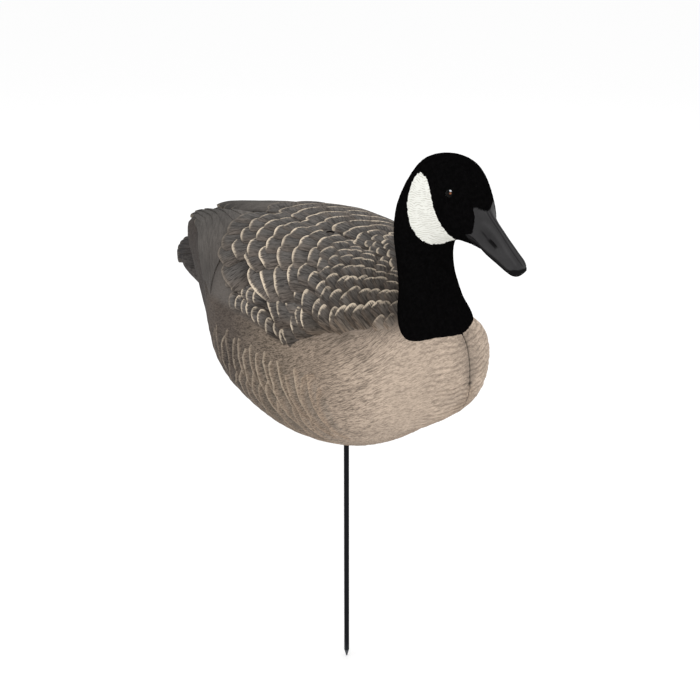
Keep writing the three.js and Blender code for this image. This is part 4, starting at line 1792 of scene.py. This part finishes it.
@dataclass
class Stake:
    """Round rod with a cone point, pushed into the ground."""

    radius: float = 3.25
    point: float = 10.0
    flat: float = 0.8
    top: float = 506.0
    rounding: float = 0.35

    def piece(self, material: bpy.types.Material) -> bpy.types.Object:
        """Make the rod from a cylinder, with its lower end drawn to a point.

        Args:
            material: its finish.

        Returns:
            The piece.
        """
        size = {"radius": self.radius * MM, "depth": (self.top - self.point) * MM}
        middle = (0, 0, (self.top + self.point) / 2 * MM)
        bpy.ops.mesh.primitive_cylinder_add(vertices=48, location=middle, **size)
        made = bpy.context.object
        made.name = made.data.name = "ground_stake"
        bpy.ops.object.transform_apply(location=True, rotation=True, scale=True)
        bpy.ops.object.mode_set(mode="EDIT")
        bpy.ops.mesh.select_mode(type="VERT")
        bpy.ops.mesh.select_all(action="DESELECT")
        bpy.ops.object.mode_set(mode="OBJECT")
        for vertex in made.data.vertices:
            vertex.select = vertex.co.z < (self.point + 1) * MM
        bpy.ops.object.mode_set(mode="EDIT")
        move = {"value": (0, 0, -self.point * MM)}
        bpy.ops.mesh.extrude_region_move(TRANSFORM_OT_translate=move)
        share = self.flat / self.radius
        bpy.ops.transform.resize(value=(share, share, 1), center_override=(0, 0, 0))
        bpy.ops.object.mode_set(mode="OBJECT")
        face_out(made)
        bevel = made.modifiers.new("rounded", "BEVEL")
        bevel.width = self.rounding * MM
        bevel.segments = 3
        bevel.limit_method = "ANGLE"
        bevel.angle_limit = math.radians(12)
        bpy.ops.object.modifier_apply(modifier=bevel.name)
        bpy.ops.object.shade_smooth_by_angle(angle=math.radians(35))
        made.data.materials.append(material)
        return made


@dataclass(frozen=True)
class Studio:
    """Pale floor, soft lights and the camera."""

    azimuth: float = math.radians(43.55)
    elevation: float = math.radians(25.07)
    distance: float = 1.6
    lens: float = 68.57
    middle: tuple = (0.0, 0.0, 0.45)
    height: float = 0.4525
    shift: float = 0.00444
    lamps: tuple = (
        ("key", (1.1, -1.2, 2.1), 1.4, 8.0),
        ("back", (-1.2, 1.4, 1.8), 1.6, 4.0),
        ("front", (1.6, 1.1, 1.2), 1.2, 3.5),
        ("side", (-0.9, -1.72, 1.2), 1.0, 6.0),
    )

    def camera(self) -> None:
        """Place the camera."""
        a, e = self.azimuth, self.elevation
        right = Vector((math.cos(a), math.sin(a), 0))
        back = Vector((math.sin(a) * math.cos(e), -math.cos(a) * math.cos(e), math.sin(e)))
        target = Vector((0, 0, self.height)) + right * self.shift
        data = bpy.data.cameras.new("camera")
        data.lens = self.lens
        data.sensor_width = 36.0
        camera = new_object("camera", data)
        aim(camera, target + back * self.distance, target)
        bpy.context.scene.camera = camera

    def floor(self) -> None:
        """Lay the floor that the stake's point stands on."""
        bpy.ops.mesh.primitive_plane_add(size=30, location=(0, 0, -0.0005))
        floor = bpy.context.object
        floor.name = "floor"
        pale = (0.97, 0.97, 0.97, 1)
        paper = {"Base Color": pale, "Roughness": 1.0, "Specular IOR Level": 0.0}
        floor.data.materials.append(Finish("pale_floor").done(paper))

    def lights(self) -> None:
        """Light the scene: a bright even surround and four soft lamps that face the decoy."""
        world = bpy.data.worlds.new("studio")
        world.use_nodes = True
        surround = world.node_tree.nodes["Background"].inputs
        surround["Color"].default_value = (1, 1, 1, 1)
        surround["Strength"].default_value = 1.0
        bpy.context.scene.world = world
        bpy.context.scene.view_settings.view_transform = "Standard"
        for name, place, size, power in self.lamps:
            data = bpy.data.lights.new(name, "AREA")
            data.shape = "SQUARE"
            data.size = size
            data.energy = power
            aim(new_object(name, data), Vector(place), Vector(self.middle))


def fix(piece: bpy.types.Object, slot: str, *nodes: str) -> bpy.types.Object:
    """Fix a finished piece to the decoy's one body.

    Args:
        piece: the piece.
        slot: a material slot of the record; not used.
        nodes: the CAD nodes that it stands for.

    Returns:
        The piece.
    """
    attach(piece, "root")
    if nodes:
        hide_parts(*nodes)
    log.info("%s: %d faces", piece.name, len(piece.data.polygons))
    return piece


def main() -> None:
    """Build the decoy and its studio."""
    logging.basicConfig(level=logging.INFO, format="%(name)s: %(message)s")
    studio = Studio()
    studio.camera()
    studio.floor()
    studio.lights()

    form = BodyForm()
    coat = Coat(form)
    paint = PlumagePaint().material()
    fix(Body(form, coat).piece(paint), "painted_body", "body")
    plumage = Plumage(form, coat)
    both, wing = (RIGHT, LEFT), WingCoat(plumage)
    for made in (
        FlankCoat(plumage).piece("flank_feathers", 21, both, paint),
        LongFeathers(plumage).piece("long_wing_feathers", 5, both, paint),
        wing.piece("wing_feathers_right", 11, (RIGHT,), paint),
        wing.piece("wing_feathers_left", 12, (LEFT,), paint),
        Tail(form).piece(paint),
    ):
        fix(made, "painted_body")

    head = Head(HeadForm())
    skull = fix(head.piece(HeadFinish().material()), "flocked_head", "head_and_neck")
    cheek = CheekFlock().material()
    glass = EyeGlass().material()
    for side, node in ((RIGHT, "eye_right"), (LEFT, "eye_left")):
        fix(head.patch(skull, side, cheek), "flocked_head")
        fix(head.eye(node, glass), "eye", node)
    fix(Stake().piece(StakeCoating().material()), "stake_rod", "stake")


if __name__ == "__main__":
    main()
